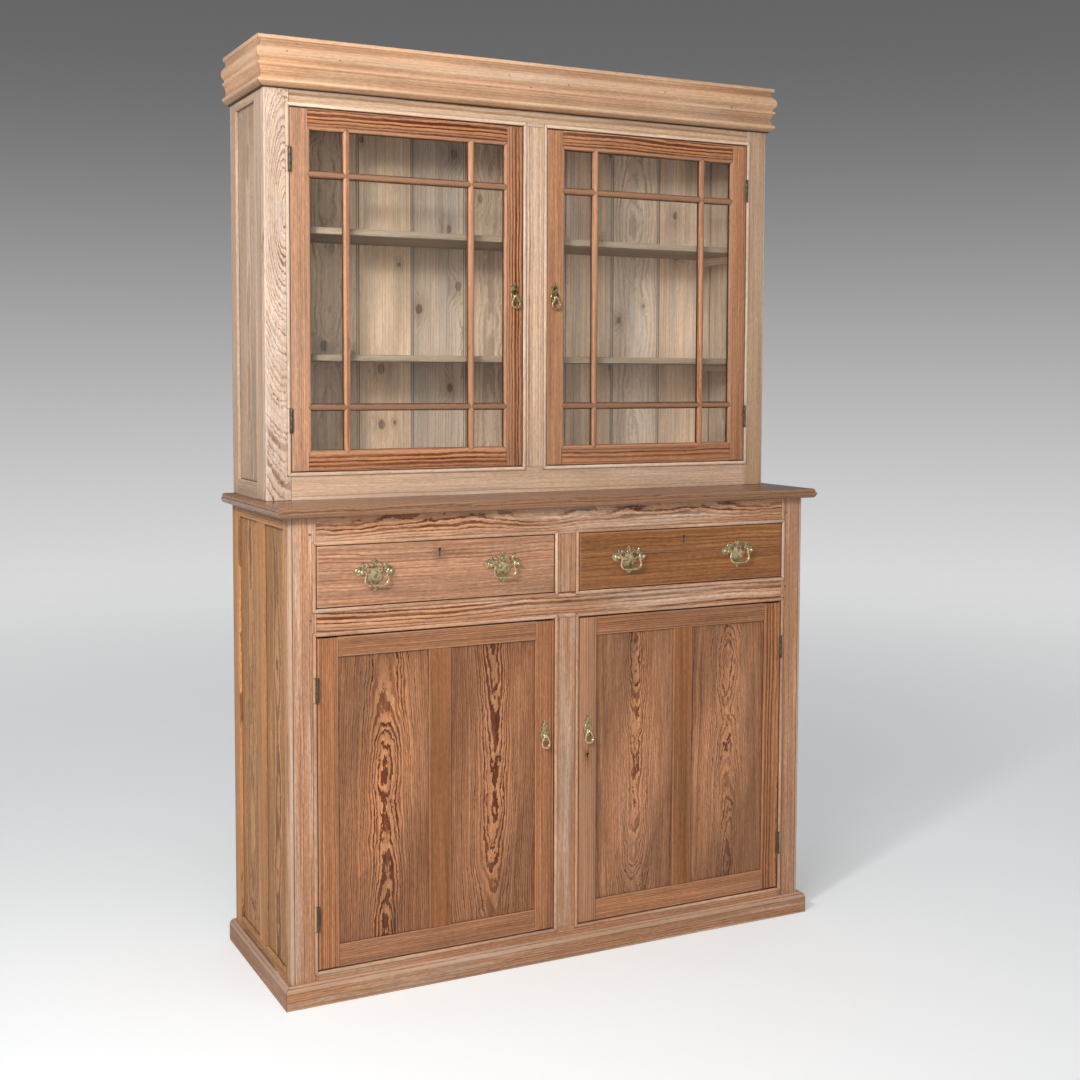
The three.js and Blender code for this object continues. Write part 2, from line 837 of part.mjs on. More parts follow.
// The right half of the drawer pull backplate, as corners from its top to its foot
function pullPlateEdge() {
  const post = postSpacing / 2;
  const lobe = fromShares(lobeShares, lobeRadius, lobeRadius, lobeRadius);
  return [
    ...fromShares(pullCrestShares, post, pullPlateTop, pullPlateBottom),
    ...lobe.map(([x, z]) => [post + x, z]),
    ...fromShares(pullSkirtShares, post, pullPlateTop, pullPlateBottom),
  ];
}

// A closed shape through corners
function outlined(corners) {
  return new THREE.Shape(corners.map(([x, z]) => new THREE.Vector2(x, z)));
}

// A closed shape from the corners of its right half, which starts and ends on the middle line
function mirrored(right) {
  const left = right.slice(1, -1).reverse().map(([x, z]) => [-x, z]);
  return outlined([...right, ...left]);
}

// A post that stands on a plate, with a round head, pointing towards -Y
function headedPost(x, radius, headRadius, reach) {
  const neck = Math.sqrt(headRadius ** 2 - radius ** 2);
  const arcs = headTurnShares.map((turn) => {
    const angle = turn * Math.PI / 2;
    return new THREE.Vector2(headRadius * Math.cos(angle), reach - headRadius * Math.sin(angle));
  });
  const profile = [
    new THREE.Vector2(0, plateThick / 2),
    new THREE.Vector2(radius, plateThick / 2),
    new THREE.Vector2(radius, reach - neck),
    ...arcs,
    new THREE.Vector2(0, reach + headRadius),
  ];
  const geometry = new THREE.LatheGeometry(profile, headSides);
  return geometry.rotateX(Math.PI).translate(x, 0, 0);
}

// A cylinder along X between two places, at a depth
function crossBar(radius, x0, x1, y) {
  const geometry = new THREE.CylinderGeometry(radius, radius, Math.abs(x1 - x0), pinSides);
  return geometry.rotateZ(Math.PI / 2).translate((x0 + x1) / 2, y, 0);
}

// Drawer pull backplate with its posts, its face at depth zero and its bail axis at height zero
function pullPlate() {
  const post = postSpacing / 2;
  const pierce = fromShares(pullPierceShares, post, pullPlateTop, pullPlateBottom);
  const holes = [1, -1].map((side) => plateXZ(
    outlined(pierce.map(([x, z]) => [side * x, z])), -plateThick - overrun, overrun,
  ));
  const plate = cut(solid(plateXZ(mirrored(pullPlateEdge()), -plateThick, 0)), ...holes);
  const whole = add(
    plate,
    headedPost(-post, postRadius, postHeadRadius, pullReach),
    headedPost(post, postRadius, postHeadRadius, pullReach),
  );
  const bore = bailRadius + bailBoreClearance;
  const bores = [-1, 1].map((side) => crossBar(
    bore, side * (post - postHeadRadius - overrun), side * (post + bailBorePastPost), -pullReach,
  ));
  return shell(cut(whole, ...bores));
}

// A round bar bent through the corners of its right half and their mirror image, at a depth
function bentBar(half, depth, radius, steps) {
  const route = [...half, ...half.map(([x, z]) => [-x, z]).reverse()];
  const path = new THREE.CatmullRomCurve3(
    route.map(([x, z]) => new THREE.Vector3(x, -depth, z)), false, 'centripetal',
  );
  const section = new THREE.Shape();
  section.absarc(0, 0, radius, 0, 2 * Math.PI, false);
  return new THREE.ExtrudeGeometry(section, {
    steps, extrudePath: path, curveSegments: 2 * tubeQuarterPoints,
  });
}

// The swinging bail of a drawer pull
function pullBail() {
  const half = fromShares(bailShares, postSpacing / 2, bailDrop, bailDrop);
  return bentBar(half, pullReach, bailRadius, bailSteps);
}

// Drop pull backplate with its post, its face at depth zero and its loop axis at height zero
function dropPlate() {
  const edge = fromShares(dropPlateShares, dropPlateHalfWidth, dropPlateTop, dropPlateBottom);
  const whole = join(
    plateXZ(mirrored(edge), -plateThick, 0),
    headedPost(0, dropPostRadius, dropHeadRadius, dropReach),
  );
  const reach = dropHeadRadius + overrun;
  return shell(cut(whole, crossBar(dropLoopRadius + bailBoreClearance, -reach, reach, -dropReach)));
}

// The swinging loop of a drop pull, its two ends meeting in the head of its post
function dropLoop() {
  const half = fromShares(dropLoopShares, dropLoopWidth / 2, dropLoopHeight, dropLoopHeight);
  return bentBar(half, dropReach, dropLoopRadius, loopSteps);
}

// The two hinges of a door, one leaf of each on the post and one on the door
function hangDoor(group, name, postSide, openingWidth, openingHeight) {
  const pinX = postSide * (openingWidth - doorGap) / 2;
  hingeSpans(0, openingHeight).forEach(([foot], index) => {
    const label = `${name}_${index === 0 ? 'bottom' : 'top'}_hinge`;
    const hinge = groupAt(group, pinX, -pinProud, foot);
    place(hinge, `${label}_frame_leaf`, frameLeaf(postSide), agedIron);
    place(hinge, `${label}_door_leaf`, doorLeaf(postSide), agedIron);
  });
}

// A drop pull on the inner stile of a door
function fitDrop(group, name, x, z) {
  const pull = groupAt(group, x, 0, z);
  place(pull, `${name}_pull_plate`, dropPlate(), brass);
  place(pull, `${name}_pull_loop`, dropLoop(), brass);
}

// One drawer with its two pulls
function addDrawer(parent, name, x) {
  const drawer = groupAt(parent, x, baseFace, drawerOpeningFoot);
  place(drawer, `${name}_drawer_front`, drawerFront(), redPine);
  place(drawer, `${name}_drawer_box`, drawerBox(), insidePine);
  const reach = lowerOpeningWidth / 2 - pullInset;
  [[-reach, 'left'], [reach, 'right']].forEach(([at, end]) => {
    const pull = groupAt(drawer, at, 0, drawerOpening / 2 + pullAxisRise);
    place(pull, `${name}_drawer_${end}_pull_plate`, pullPlate(), brass);
    place(pull, `${name}_drawer_${end}_pull_bail`, pullBail(), brass);
  });
}

// One lower door, hung on the left for -1 and on the right for 1
function addLowerDoor(parent, name, side) {
  const door = groupAt(parent, side * lowerOpeningMiddle, baseFace, baseBottomRail);
  place(door, `${name}_frame`, lowerDoorFrame(side > 0, -side), redPine);
  place(door, `${name}_panel`, lowerDoorPanel(), redPine);
  hangDoor(door, name, side, lowerOpeningWidth, lowerDoorOpening);
  const stile = lowerOpeningWidth / 2 - doorGap - lowerDoorStile / 2;
  fitDrop(door, name, -side * stile, lowerDropHeight);
}

// One glazed door, hung on the left for -1 and on the right for 1
function addGlazedDoor(parent, name, side) {
  const door = groupAt(parent, side * upperOpeningMiddle, upperFace, glazedOpeningFoot);
  place(door, `${name}_frame`, glazedDoorFrame(), redPine);
  place(door, `${name}_glass`, doorGlass(), clearGlass);
  hangDoor(door, name, side, upperOpeningWidth, glazedDoorOpening);
  const stile = upperOpeningWidth / 2 - doorGap - (glazedStile - stickingWidth) / 2;
  fitDrop(door, name, -side * stile, upperDropHeight);
}

// The fixed pieces of the base
function addBase(parent) {
  const wall = halfBase - sideThick;
  const front = baseFace + faceFrameThick;
  const back = backPlane - backThick;
  place(parent, 'plinth', plinth(), facePine);
  place(parent, 'base_left_side', baseSide(-1), sidePine);
  place(parent, 'base_right_side', baseSide(1), sidePine);
  place(parent, 'base_face_frame', baseFaceFrame(), facePine);
  const floor = box(-wall, wall, front, back, baseBottomRail - floorBoardThick, baseBottomRail);
  place(parent, 'base_bottom', floor, insidePine);
  place(parent, 'base_back', box(-wall, wall, back, backPlane, 0, baseHeight), insidePine);
  place(parent, 'drawer_frame', drawerFrame(), insidePine);
  place(parent, 'waist_board', waistBoard(), waxedPine);
}

// The fixed pieces of the upper case
function addUpperCase(parent) {
  const wall = halfUpper - sideThick;
  const front = upperFace + faceFrameThick;
  const back = backPlane - backThick;
  place(parent, 'upper_left_side', upperSide(-1), sidePine);
  place(parent, 'upper_right_side', upperSide(1), sidePine);
  place(parent, 'upper_face_frame', upperFaceFrame(), palePine);
  const floor = box(
    -wall, wall, front, back, glazedOpeningFoot - floorBoardThick, glazedOpeningFoot,
  );
  place(parent, 'upper_bottom', floor, insidePine);
  place(parent, 'upper_back', upperBack(), insidePine);
  shelfHeights.forEach((height, index) => {
    place(parent, `${index === 0 ? 'lower' : 'upper'}_shelf`, shelf(height), insidePine);
  });
  place(parent, 'cornice', cornice(), palePine);
}

const group = new THREE.Group();
addBase(group);
addUpperCase(group);
addDrawer(group, 'left', -lowerOpeningMiddle);
addDrawer(group, 'right', lowerOpeningMiddle);
addLowerDoor(group, 'lower_left_door', -1);
addLowerDoor(group, 'lower_right_door', 1);
addGlazedDoor(group, 'upper_left_door', -1);
addGlazedDoor(group, 'upper_right_door', 1);

export default group;
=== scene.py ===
"""Step back cupboard in stripped pitch pine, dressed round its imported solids. Metres, +Z up."""
import json
import math

import bpy
import numpy as np
from mathutils import Matrix, Vector
from mathutils.geometry import delaunay_2d_cdt

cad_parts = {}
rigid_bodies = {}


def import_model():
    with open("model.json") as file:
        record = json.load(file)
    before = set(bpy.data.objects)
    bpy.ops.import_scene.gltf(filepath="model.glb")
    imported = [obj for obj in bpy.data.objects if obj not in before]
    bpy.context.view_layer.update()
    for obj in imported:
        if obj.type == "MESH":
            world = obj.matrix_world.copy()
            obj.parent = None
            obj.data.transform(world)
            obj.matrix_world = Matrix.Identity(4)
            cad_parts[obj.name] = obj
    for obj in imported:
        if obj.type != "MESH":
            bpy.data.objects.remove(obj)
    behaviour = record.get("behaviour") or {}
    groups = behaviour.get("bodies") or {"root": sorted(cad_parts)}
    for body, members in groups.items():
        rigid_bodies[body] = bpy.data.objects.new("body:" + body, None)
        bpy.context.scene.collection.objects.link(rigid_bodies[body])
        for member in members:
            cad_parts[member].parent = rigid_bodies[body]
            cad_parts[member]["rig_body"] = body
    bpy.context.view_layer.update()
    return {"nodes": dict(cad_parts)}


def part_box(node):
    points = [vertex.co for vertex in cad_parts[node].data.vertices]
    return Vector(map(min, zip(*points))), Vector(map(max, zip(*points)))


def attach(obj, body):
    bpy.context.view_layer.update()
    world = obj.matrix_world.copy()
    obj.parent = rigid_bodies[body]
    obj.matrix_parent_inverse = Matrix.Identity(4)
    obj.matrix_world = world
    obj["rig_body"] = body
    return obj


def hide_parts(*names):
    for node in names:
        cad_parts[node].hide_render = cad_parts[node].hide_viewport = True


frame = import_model()
NODES = frame["nodes"]
MM = 0.001

# Sizes of the solids, in metres
HALF_BASE, HALF_UPPER = 0.634, 0.631
BACK = 0.2255
BASE_FACE = BACK - 0.425
UPPER_FACE = BASE_FACE + 0.163
FRAME_THICK, SIDE_THICK, BACK_THICK = 0.022, 0.020, 0.012
BASE_TOP, WAIST_TOP = 1.011, 1.032
DOOR_FOOT, DOOR_TOP = 0.067, 0.765
DRAWER_FOOT, DRAWER_TOP = 0.822, 0.952
GLAZED_FOOT, GLAZED_TOP = 1.091, 1.861
CORNICE_FOOT, CASE_TOP, TOP = 1.895, 1.978, 2.0
SHELF_TOPS = (1.343, 1.615)
HALF_POST = 0.030
OPENING = 0.547
OUTER = HALF_POST + OPENING
MIDDLE = (HALF_POST + OUTER) / 2
DOOR_GAP, DRAWER_GAP, WORN_TOP = 0.0023, 0.002, 0.0012
DOOR_THICK = 0.020
PLINTH_TOP, PLINTH_THICK = 0.048, 0.016
BEAD, BEAD_PROUD = 0.008, 0.003
HINGE_LONG, HINGE_INSET = 0.051, 0.085
PIN_X, PIN_PROUD = 0.57585, 0.0034
PULL_Z, PULL_INSET, PULL_REACH = 0.893, 0.127, 0.012
LOWER_DROP = (0.0543, 0.506)
UPPER_DROP = (0.0513, 1.478)
DROP_REACH = 0.008

# Marks of wear, and of grime with painted shade: distances from an edge or a joint, and how fast they grow
# from a joint
PLAIN_EDGE = 0.02
ROUND_EDGE = 0.0014
CLOSE, INWARD = 2 * MM, 8 * MM
METAL_FIELD = 2.6 * MM
JOINT_SPREAD = 6
# Width of the dark skin round a plate: old wax with a painted shadow
WAX_AND_SHADOW = 0.5 * MM
LONG = 0.05
SHARP = math.radians(50)

AXES = np.eye(3)
FRONT = -1


def unit(vector):
    """A vector over its own length."""
    return vector / np.linalg.norm(vector)


class Timber:
    """Which way a board was sawn: where the heart of the tree lies beside it, and how its rings look."""

    # Heart aside and behind the face, width of a ring, and how far the rings wander
    KINDS = {
        "straight": ((0.06, 0.13), (0.004, 0.020), (0.0040, 0.0056), 0.0036),
        "fine": ((0.09, 0.16), (0.004, 0.020), (0.0026, 0.0036), 0.0026),
        "bold": ((0.035, 0.060), (0.020, 0.035), (0.0070, 0.0090), 0.0040),
        "flame": ((-0.005, 0.005), (0.046, 0.058), (0.0056, 0.0066), 0.0085),
    }
    HEART_ALONG = (3, 30)
    LIGHT_SPREAD, WARM_SPREAD = 0.03, 0.02

    def __init__(self, lo, hi, along, kind="straight", seed=1, light=0.0, warm=0.0, contrast=1.0,
                 ring=None, flame=None, heart=None, lean=0.0, knots=0.0, face=FRONT):
        lo, hi = np.asarray(lo, float), np.asarray(hi, float)
        chance = np.random.default_rng(seed)
        first = "xyz".index(along)
        others = sorted({0, 1, 2} - {first}, key=lambda axis: lo[axis] - hi[axis])
        self.axes = (first, *others)
        (near, far), (shallow, deep), rings, flames = self.KINDS[kind]
        aside = chance.uniform(near, far) * (chance.choice((-1, 1)) if near > 0 else 1)
        behind = chance.uniform(shallow, deep)
        if heart is not None:
            aside, behind = heart
        across, depth = others
        surface = lo[depth] if face < 0 else hi[depth]
        self.heart = np.zeros(3)
        self.heart[across] = (lo[across] + hi[across]) / 2 + aside
        self.heart[depth] = surface - face * behind
        self.heart[first] = -chance.uniform(*self.HEART_ALONG)
        self.lean, self.middle = lean, (lo[first] + hi[first]) / 2 - self.heart[first]
        self.figure = (ring or chance.uniform(*rings), flames if flame is None else flame, contrast)
        self.tone = (light + chance.uniform(-self.LIGHT_SPREAD, self.LIGHT_SPREAD),
                     warm + chance.uniform(-self.WARM_SPREAD, self.WARM_SPREAD), knots)

    def marks(self, points, edge, foot=PLAIN_EDGE):
        """What the finish reads: place from the heart, rings, tone, how far an edge is, and a foot mark that
        darkens with grime and painted shade.
        """
        count = len(points)
        place = (points - self.heart)[:, self.axes]
        place[:, 2] += self.lean * (place[:, 0] - self.middle) * np.sign(place[:, 2].mean())
        return np.column_stack([place, np.tile(self.figure + self.tone, (count, 1)),
                                np.broadcast_to(edge, count), np.broadcast_to(foot, count)])


class Metal:
    """Marks of a piece with no grain: its own place, and distance to an edge."""

    def marks(self, points, edge, foot=PLAIN_EDGE):
        """The same columns as for timber, with the place in the first three."""
        count = len(points)
        return np.column_stack([points, np.zeros((count, 6)), np.broadcast_to(edge, count),
                                np.broadcast_to(foot, count)])


METAL = Metal()


class Work:
    """The closed boards, plates and bars of one piece, gathered with their marks."""

    def __init__(self):
        self.points, self.marks, self.faces, self.count = [], [], [], 0

    def take(self, points, faces, marks):
        """Adds one closed skin. Its volume, the sum of p . (q x r) / 6 over its fans, is kept positive."""
        fans = np.array([(f[0], f[i], f[i + 1]) for f in faces for i in range(1, len(f) - 1)])
        p, q, r = (points[fans[:, i]] - points.mean(0) for i in range(3))
        step = 1 if np.einsum("ij,ij->i", p, np.cross(q, r)).sum() > 0 else -1
        self.faces += [tuple(int(i) + self.count for i in face[::step]) for face in faces]
        self.points.append(points)
        self.marks.append(marks)
        self.count += len(points)

    def done(self, node, word, finish, second=None, pick=None):
        """Makes the mesh, and lets it stand for its node on the node's body."""
        mesh = bpy.data.meshes.new(f"{node}_{word}")
        mesh.from_pydata(np.vstack(self.points).tolist(), [], self.faces)
        marks = np.vstack(self.marks).astype(np.float32)
        for name, kind, key, first, wide in (
                ("grain", "FLOAT_VECTOR", "vector", 0, 3), ("figure", "FLOAT_VECTOR", "vector", 3, 3),
                ("tone", "FLOAT_VECTOR", "vector", 6, 3), ("edge", "FLOAT", "value", 9, 1),
                ("foot", "FLOAT", "value", 10, 1)):
            layer = mesh.attributes.new(name, kind, "POINT")
            layer.data.foreach_set(key, np.ascontiguousarray(marks[:, first:first + wide]).ravel())
        mesh.shade_smooth()
        mesh.set_sharp_from_angle(angle=SHARP)
        mesh.materials.append(finish)
        if second is not None:
            mesh.materials.append(second)
            centres = np.zeros(len(mesh.polygons) * 3, np.float32)
            mesh.polygons.foreach_get("center", centres)
            chosen = pick(centres.reshape(-1, 3)).astype(np.int32)
            mesh.polygons.foreach_set("material_index", chosen)
        piece = bpy.data.objects.new(f"{node}_{word}", mesh)
        bpy.context.scene.collection.objects.link(piece)
        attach(piece, NODES[node]["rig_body"])
        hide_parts(node)


def wall_faces(rings, sides):
    """Four-sided faces between equal closed rings."""
    start = np.arange(rings - 1)[:, None] * sides + np.arange(sides)
    after = np.arange(rings - 1)[:, None] * sides + (np.arange(sides) + 1) % sides
    walls = np.stack([start, after, after + sides, start + sides], -1).reshape(-1, 4)
    return [tuple(wall) for wall in walls]


def ring_faces(rings, sides):
    """Four-sided faces between equal rings, and the first and last ring filled."""
    ends = [tuple(range(sides))[::-1], tuple(range((rings - 1) * sides, rings * sides))]
    return wall_faces(rings, sides) + ends


def turned_left(outline):
    """An outline in anticlockwise order, by the sign of its area."""
    x, z = outline[:, 0], outline[:, 1]
    area = (x * np.roll(z, -1) - np.roll(x, -1) * z).sum()
    return outline if area > 0 else outline[::-1]


def drawn_in(outline, amount):
    """An anticlockwise outline with each point moved by an amount against its normal."""
    slope = np.roll(outline, -1, 0) - np.roll(outline, 1, 0)
    normal = np.column_stack([slope[:, 1], -slope[:, 0]])
    return outline - amount * normal / np.linalg.norm(normal, axis=1)[:, None]


def rounded(corners, radius, worn=True):
    """A closed outline with softened corners, and how far each point lies from a corner.

    Corner c becomes the curve (1-t)^2 (c + r a) + 2t(1-t) c + t^2 (c + r b), where a and b are the unit
    ways to its neighbours.
    Points are added close to each corner, further in, and halfway.
    """
    corners = np.asarray(corners, float)
    count = len(corners)
    radii = np.broadcast_to(np.asarray(radius, float), count)
    most, square, apart = 0.45, 4 * MM, 1 * MM
    points, edge = [], []
    for index in range(count):
        corner, after, before = corners[index], corners[(index + 1) % count], corners[index - 1]
        length = np.linalg.norm(after - corner)
        ahead, behind = unit(after - corner), unit(before - corner)
        turn = min(radii[index], most * length, most * np.linalg.norm(before - corner))
        following = min(radii[(index + 1) % count], most * length)
        for t in (0.0, 0.5, 1.0) if turn > 0 else (0.0,):
            points.append(corner + (1 - t) ** 2 * turn * behind + t ** 2 * turn * ahead)
            edge.append(0.0 if turn > 0 else square)
        last = turn
        for stop in sorted((CLOSE, INWARD, length / 2, length - INWARD, length - CLOSE)):
            if last + apart < stop < length - following - apart:
                points.append(corner + ahead * stop)
                edge.append(min(stop, length - stop))
                last = stop
    edge = np.array(edge) if worn else np.full(len(points), PLAIN_EDGE)
    return np.array(points), edge


def smooth(points, steps, cusps=()):
    """A line through points, bent smoothly between its cusps as a Catmull-Rom spline."""
    points = np.asarray(points, float)
    stops = sorted({0, len(points) - 1, *cusps})
    parts = [points[:1]]
    t = np.linspace(0, 1, steps + 1)[1:, None]
    for first, last in zip(stops, stops[1:]):
        run = points[first:last + 1]
        if len(run) == 2:
            parts.append(run[1:])
            continue
        held = np.vstack([2 * run[0] - run[1], run, 2 * run[-1] - run[-2]])
        for index in range(len(run) - 1):
            a, b, c, d = held[index:index + 4]
            parts.append(0.5 * (2 * b + (c - a) * t + (2 * a - 5 * b + 4 * c - d) * t ** 2
                                + (3 * b - a - 3 * c + d) * t ** 3))
    return np.vstack(parts)


def carry(work, wood, outline, span, ways, origin=(0, 0, 0), mitres=(0, 0), hair=0.3 * MM,
          sunk=None, jointed=(True, True)):
    """An outline (u, v) carried along a straight line: the point is origin + t along + u across + v in.

    Each end starts at its span plus u times its mitre slope, and draws in by a hair. A jointed end holds
    grime, and sunk is how far the edges hide in a groove; there a sunk board's foot mark falls to zero,
    painted shade with grime in the corner where it meets the frame.
    """
    section, edge, *feet = outline
    foot = feet[0] if feet else np.full(len(section), PLAIN_EDGE)
    if turned_left(section) is not section:
        section, edge, foot = section[::-1], edge[::-1], foot[::-1]
    along, across, inward = (np.asarray(way, float) for way in ways)
    low, high = span
    length = high - low
    near = [d for d in (0, hair, CLOSE, INWARD) if d <= 0.4 * length]
    stations = [(low + d, mitres[0], d, jointed[0]) for d in near]
    if length > LONG:
        stations.append(((low + high) / 2, 0, PLAIN_EDGE, False))
    stations += [(high - d, mitres[1], d, jointed[1]) for d in near[::-1]]
    end = drawn_in(section, hair)
    rings, feet = [], []
    for index, (at, slope, distance, is_joint) in enumerate(stations):
        face = end if index in (0, len(stations) - 1) else section
        t = at + slope * face[:, 0]
        rings.append(np.asarray(origin, float) + t[:, None] * along
                     + face[:, :1] * across + face[:, 1:] * inward)
        # Foot mark: a sunk board darkens where it shows at the frame's edge, painted shade with grime in that
        # corner
        sunk_in = np.maximum(np.minimum(edge, distance) - sunk, 0) if sunk is not None else foot
        feet.append(np.minimum(sunk_in, JOINT_SPREAD * distance) if is_joint else sunk_in)
    points = np.vstack(rings)
    edges = np.tile(edge, len(rings)) if sunk is None else PLAIN_EDGE
    work.take(points, ring_faces(len(rings), len(section)),
              wood.marks(points, edges, np.concatenate(feet)))


def plank(work, lo, hi, along, soft=0.4 * MM, worn=False, sunk=None, **sawing):
    """A square board between two corners, its grain along one axis; sunk is how far its edges hide."""
    wood = Timber(lo, hi, along, **sawing)
    a, c, d = wood.axes
    corners = [(lo[c], lo[d]), (hi[c], lo[d]), (hi[c], hi[d]), (lo[c], hi[d])]
    carry(work, wood, rounded(corners, soft, worn or sunk is not None), (lo[a], hi[a]),
          AXES[[a, c, d]], sunk=sunk)
    return wood


def inside(loop, places):
    """Which places lie inside a loop: a line sideways from each crosses the loop an odd number of times."""
    x, z = (column[:, None] for column in np.asarray(places, float).T)
    (ax, az), (bx, bz) = loop.T, np.roll(loop, -1, 0).T
    with np.errstate(divide="ignore", invalid="ignore"):
        ahead = x < (bx - ax) * (z - az) / (bz - az) + ax
    return (((az > z) != (bz > z)) & ahead).sum(1) % 2 == 1


def plate(work, wood, outline, holes, front, back, rim, inner=(), foot=None, wax_shade_clearance=0.0):
    """A flat piece in X and Z between two depths, with holes through it and a softened rim.

    Its walls are the outline drawn in by r at depth y; its faces are filled between the rim and the holes.
    Its last argument is how far its back lies from wax and painted shade: nearer zero, the back of its rim
    and of its holes is painted darker, as shade where the plate meets what lies behind it.
    """
    outline = turned_left(np.asarray(outline, float))
    holes = [turned_left(np.asarray(hole, float)) for hole in holes]
    inner = np.asarray(inner, float).reshape(-1, 2)
    levels = [(rim, back), (0.3 * rim, back - 0.3 * rim), (0, back - rim),
              (0, front + rim), (0.3 * rim, front + 0.3 * rim), (rim, front)]
    count = len(outline)
    flat = [(drawn_in(outline, inset), depth) for inset, depth in levels]
    flat += [(loop, depth) for loop in (*holes, inner) if len(loop) for depth in (back, front)]
    points = np.vstack([np.column_stack([loop[:, 0], np.full(len(loop), depth), loop[:, 1]])
                        for loop, depth in flat])
    field = METAL_FIELD if wood is METAL else 0.0
    edge = np.concatenate([np.repeat([0, 0, 0, 0, 0.2 * field, field], count),
                           *[np.full(2 * len(hole), CLOSE) for hole in holes],
                           np.full(2 * len(inner), INWARD)])
    if foot is None:
        # Foot mark of the back rim and of the holes' backs: wax with painted shade, falling to the clearance
        rims = [wax_shade_clearance, wax_shade_clearance, 0.6 * wax_shade_clearance, 3 * MM, 6 * MM, PLAIN_EDGE]
        foot = np.concatenate([np.repeat(rims, count),
                               *[np.repeat([min(wax_shade_clearance, 4 * MM), 4 * MM], len(hole)) for hole in holes],
                               np.full(2 * len(inner), PLAIN_EDGE)])
    faces = wall_faces(len(levels), count)
    first = count * len(levels)
    backs, fronts = [np.arange(count)], [np.arange(count) + count * (len(levels) - 1)]
    for hole in holes:
        near = first + np.arange(len(hole))
        far = near + len(hole)
        backs.append(near)
        fronts.append(far)
        faces += [tuple(f) for f in np.stack([near, far, np.roll(far, -1), np.roll(near, -1)], -1)]
        first += 2 * len(hole)
    backs.append(first + np.arange(len(inner)))
    fronts.append(first + len(inner) + np.arange(len(inner)))
    loops = [drawn_in(outline, rim), *holes]
    places = np.vstack([*loops, inner])
    ties, begin = [], 0
    for loop in loops:
        run = list(range(begin, begin + len(loop)))
        ties += list(zip(run, run[1:] + run[:1]))
        begin += len(loop)
    _, _, cells, names, _, _ = delaunay_2d_cdt([Vector(p) for p in places], ties, [], 2, 1e-7)
    backs, fronts = np.concatenate(backs), np.concatenate(fronts)
    for cell in cells:
        own = [names[i][0] for i in cell]
        if any(inside(hole, [places[own].mean(0)])[0] for hole in holes):
            continue
        (ax, az), (bx, bz), (cx, cz) = places[own]
        if (bx - ax) * (cz - az) - (cx - ax) * (bz - az) < 0:
            own = own[::-1]
        faces += [tuple(fronts[own]), tuple(backs[own][::-1])]
    work.take(points, faces, wood.marks(points, edge, foot))


def wax_and_shadow_skin(work, outline, holes, face):
    """Old wax with a painted shadow round a plate: a thin dark skin that shows a hair past its outline and in
    its holes.
    """
    skin = drawn_in(turned_left(outline), -WAX_AND_SHADOW)
    gaps = [drawn_in(turned_left(hole), WAX_AND_SHADOW) for hole in holes]
    plate(work, METAL, skin, gaps, face - 0.3 * WAX_AND_SHADOW, face, 0.1 * WAX_AND_SHADOW, foot=0.0)


def turned(work, profile, centre, axis, sides=20):
    """A round piece: ring k is centre + t_k axis + r_k (cos a, sin a) square to the axis."""
    profile = np.asarray(profile, float)
    axis = unit(np.asarray(axis, float))
    across = unit(np.cross(axis, (0.3, 0.2, 1) if abs(axis[2]) < 0.9 else (1, 0, 0)))
    other = np.cross(axis, across)
    angle = np.linspace(0, 2 * np.pi, sides, endpoint=False)
    ring = np.cos(angle)[:, None] * across + np.sin(angle)[:, None] * other
    points = (np.asarray(centre, float) + profile[:, 1, None, None] * axis
              + profile[:, 0, None, None] * ring).reshape(-1, 3)
    work.take(points, ring_faces(len(profile), sides), METAL.marks(points, ROUND_EDGE))


def drawn(work, path, radii):
    """A round bar along a line in X and Z: ring k is p_k + r_k (cos a n_k + sin a y)."""
    sides = 14
    slope = np.gradient(path, axis=0)
    slope /= np.linalg.norm(slope, axis=1)[:, None]
    side = np.cross(slope, AXES[1])
    angle = np.linspace(0, 2 * np.pi, sides, endpoint=False)
    radii = np.broadcast_to(radii, len(path))[:, None, None]
    points = (path[:, None, :] + radii * (np.cos(angle)[None, :, None] * side[:, None, :]
              + np.sin(angle)[None, :, None] * AXES[1])).reshape(-1, 3)
    work.take(points, ring_faces(len(path), sides), METAL.marks(points, ROUND_EDGE))


def put(tree, kind, values=(), **settings):
    """A node with its settings, and its inputs given as numbers, colours or sockets to join."""
    node = tree.nodes.new(kind)
    for name, value in settings.items():
        setattr(node, name, value)
    for name, value in dict(values).items():
        socket = node.inputs[name]
        if isinstance(value, bpy.types.NodeSocket):
            tree.links.new(value, socket)
        else:
            socket.default_value = value
    return node


def sum_of(tree, operation, *values, clamp=False):
    """A sum worked out by a Math node, on numbers or sockets."""
    return put(tree, "ShaderNodeMath", enumerate(values), operation=operation,
               use_clamp=clamp).outputs[0]


def times(tree, first, second, clamp=False):
    """Two numbers or sockets multiplied."""
    return sum_of(tree, "MULTIPLY", first, second, clamp=clamp)


def swing(tree, value, amount, middle=1.0):
    """A middle plus an amount times how far a value lies from a half."""
    return sum_of(tree, "MULTIPLY_ADD", sum_of(tree, "SUBTRACT", value, 0.5), amount, middle)


def graded(tree, value, low, high, to_low=0.0, to_high=1.0):
    """A value mapped smoothly from one range to another."""
    return put(tree, "ShaderNodeMapRange", {
        "Value": value, "From Min": low, "From Max": high, "To Min": to_low, "To Max": to_high,
    }, interpolation_type="SMOOTHSTEP").outputs["Result"]


def blended(tree, share, first, second, kind="MIX"):
    """Two colours blended by a share."""
    node = put(tree, "ShaderNodeMix", {0: share, 6: first, 7: second}, data_type="RGBA",
               blend_type=kind)
    return node.outputs[2]


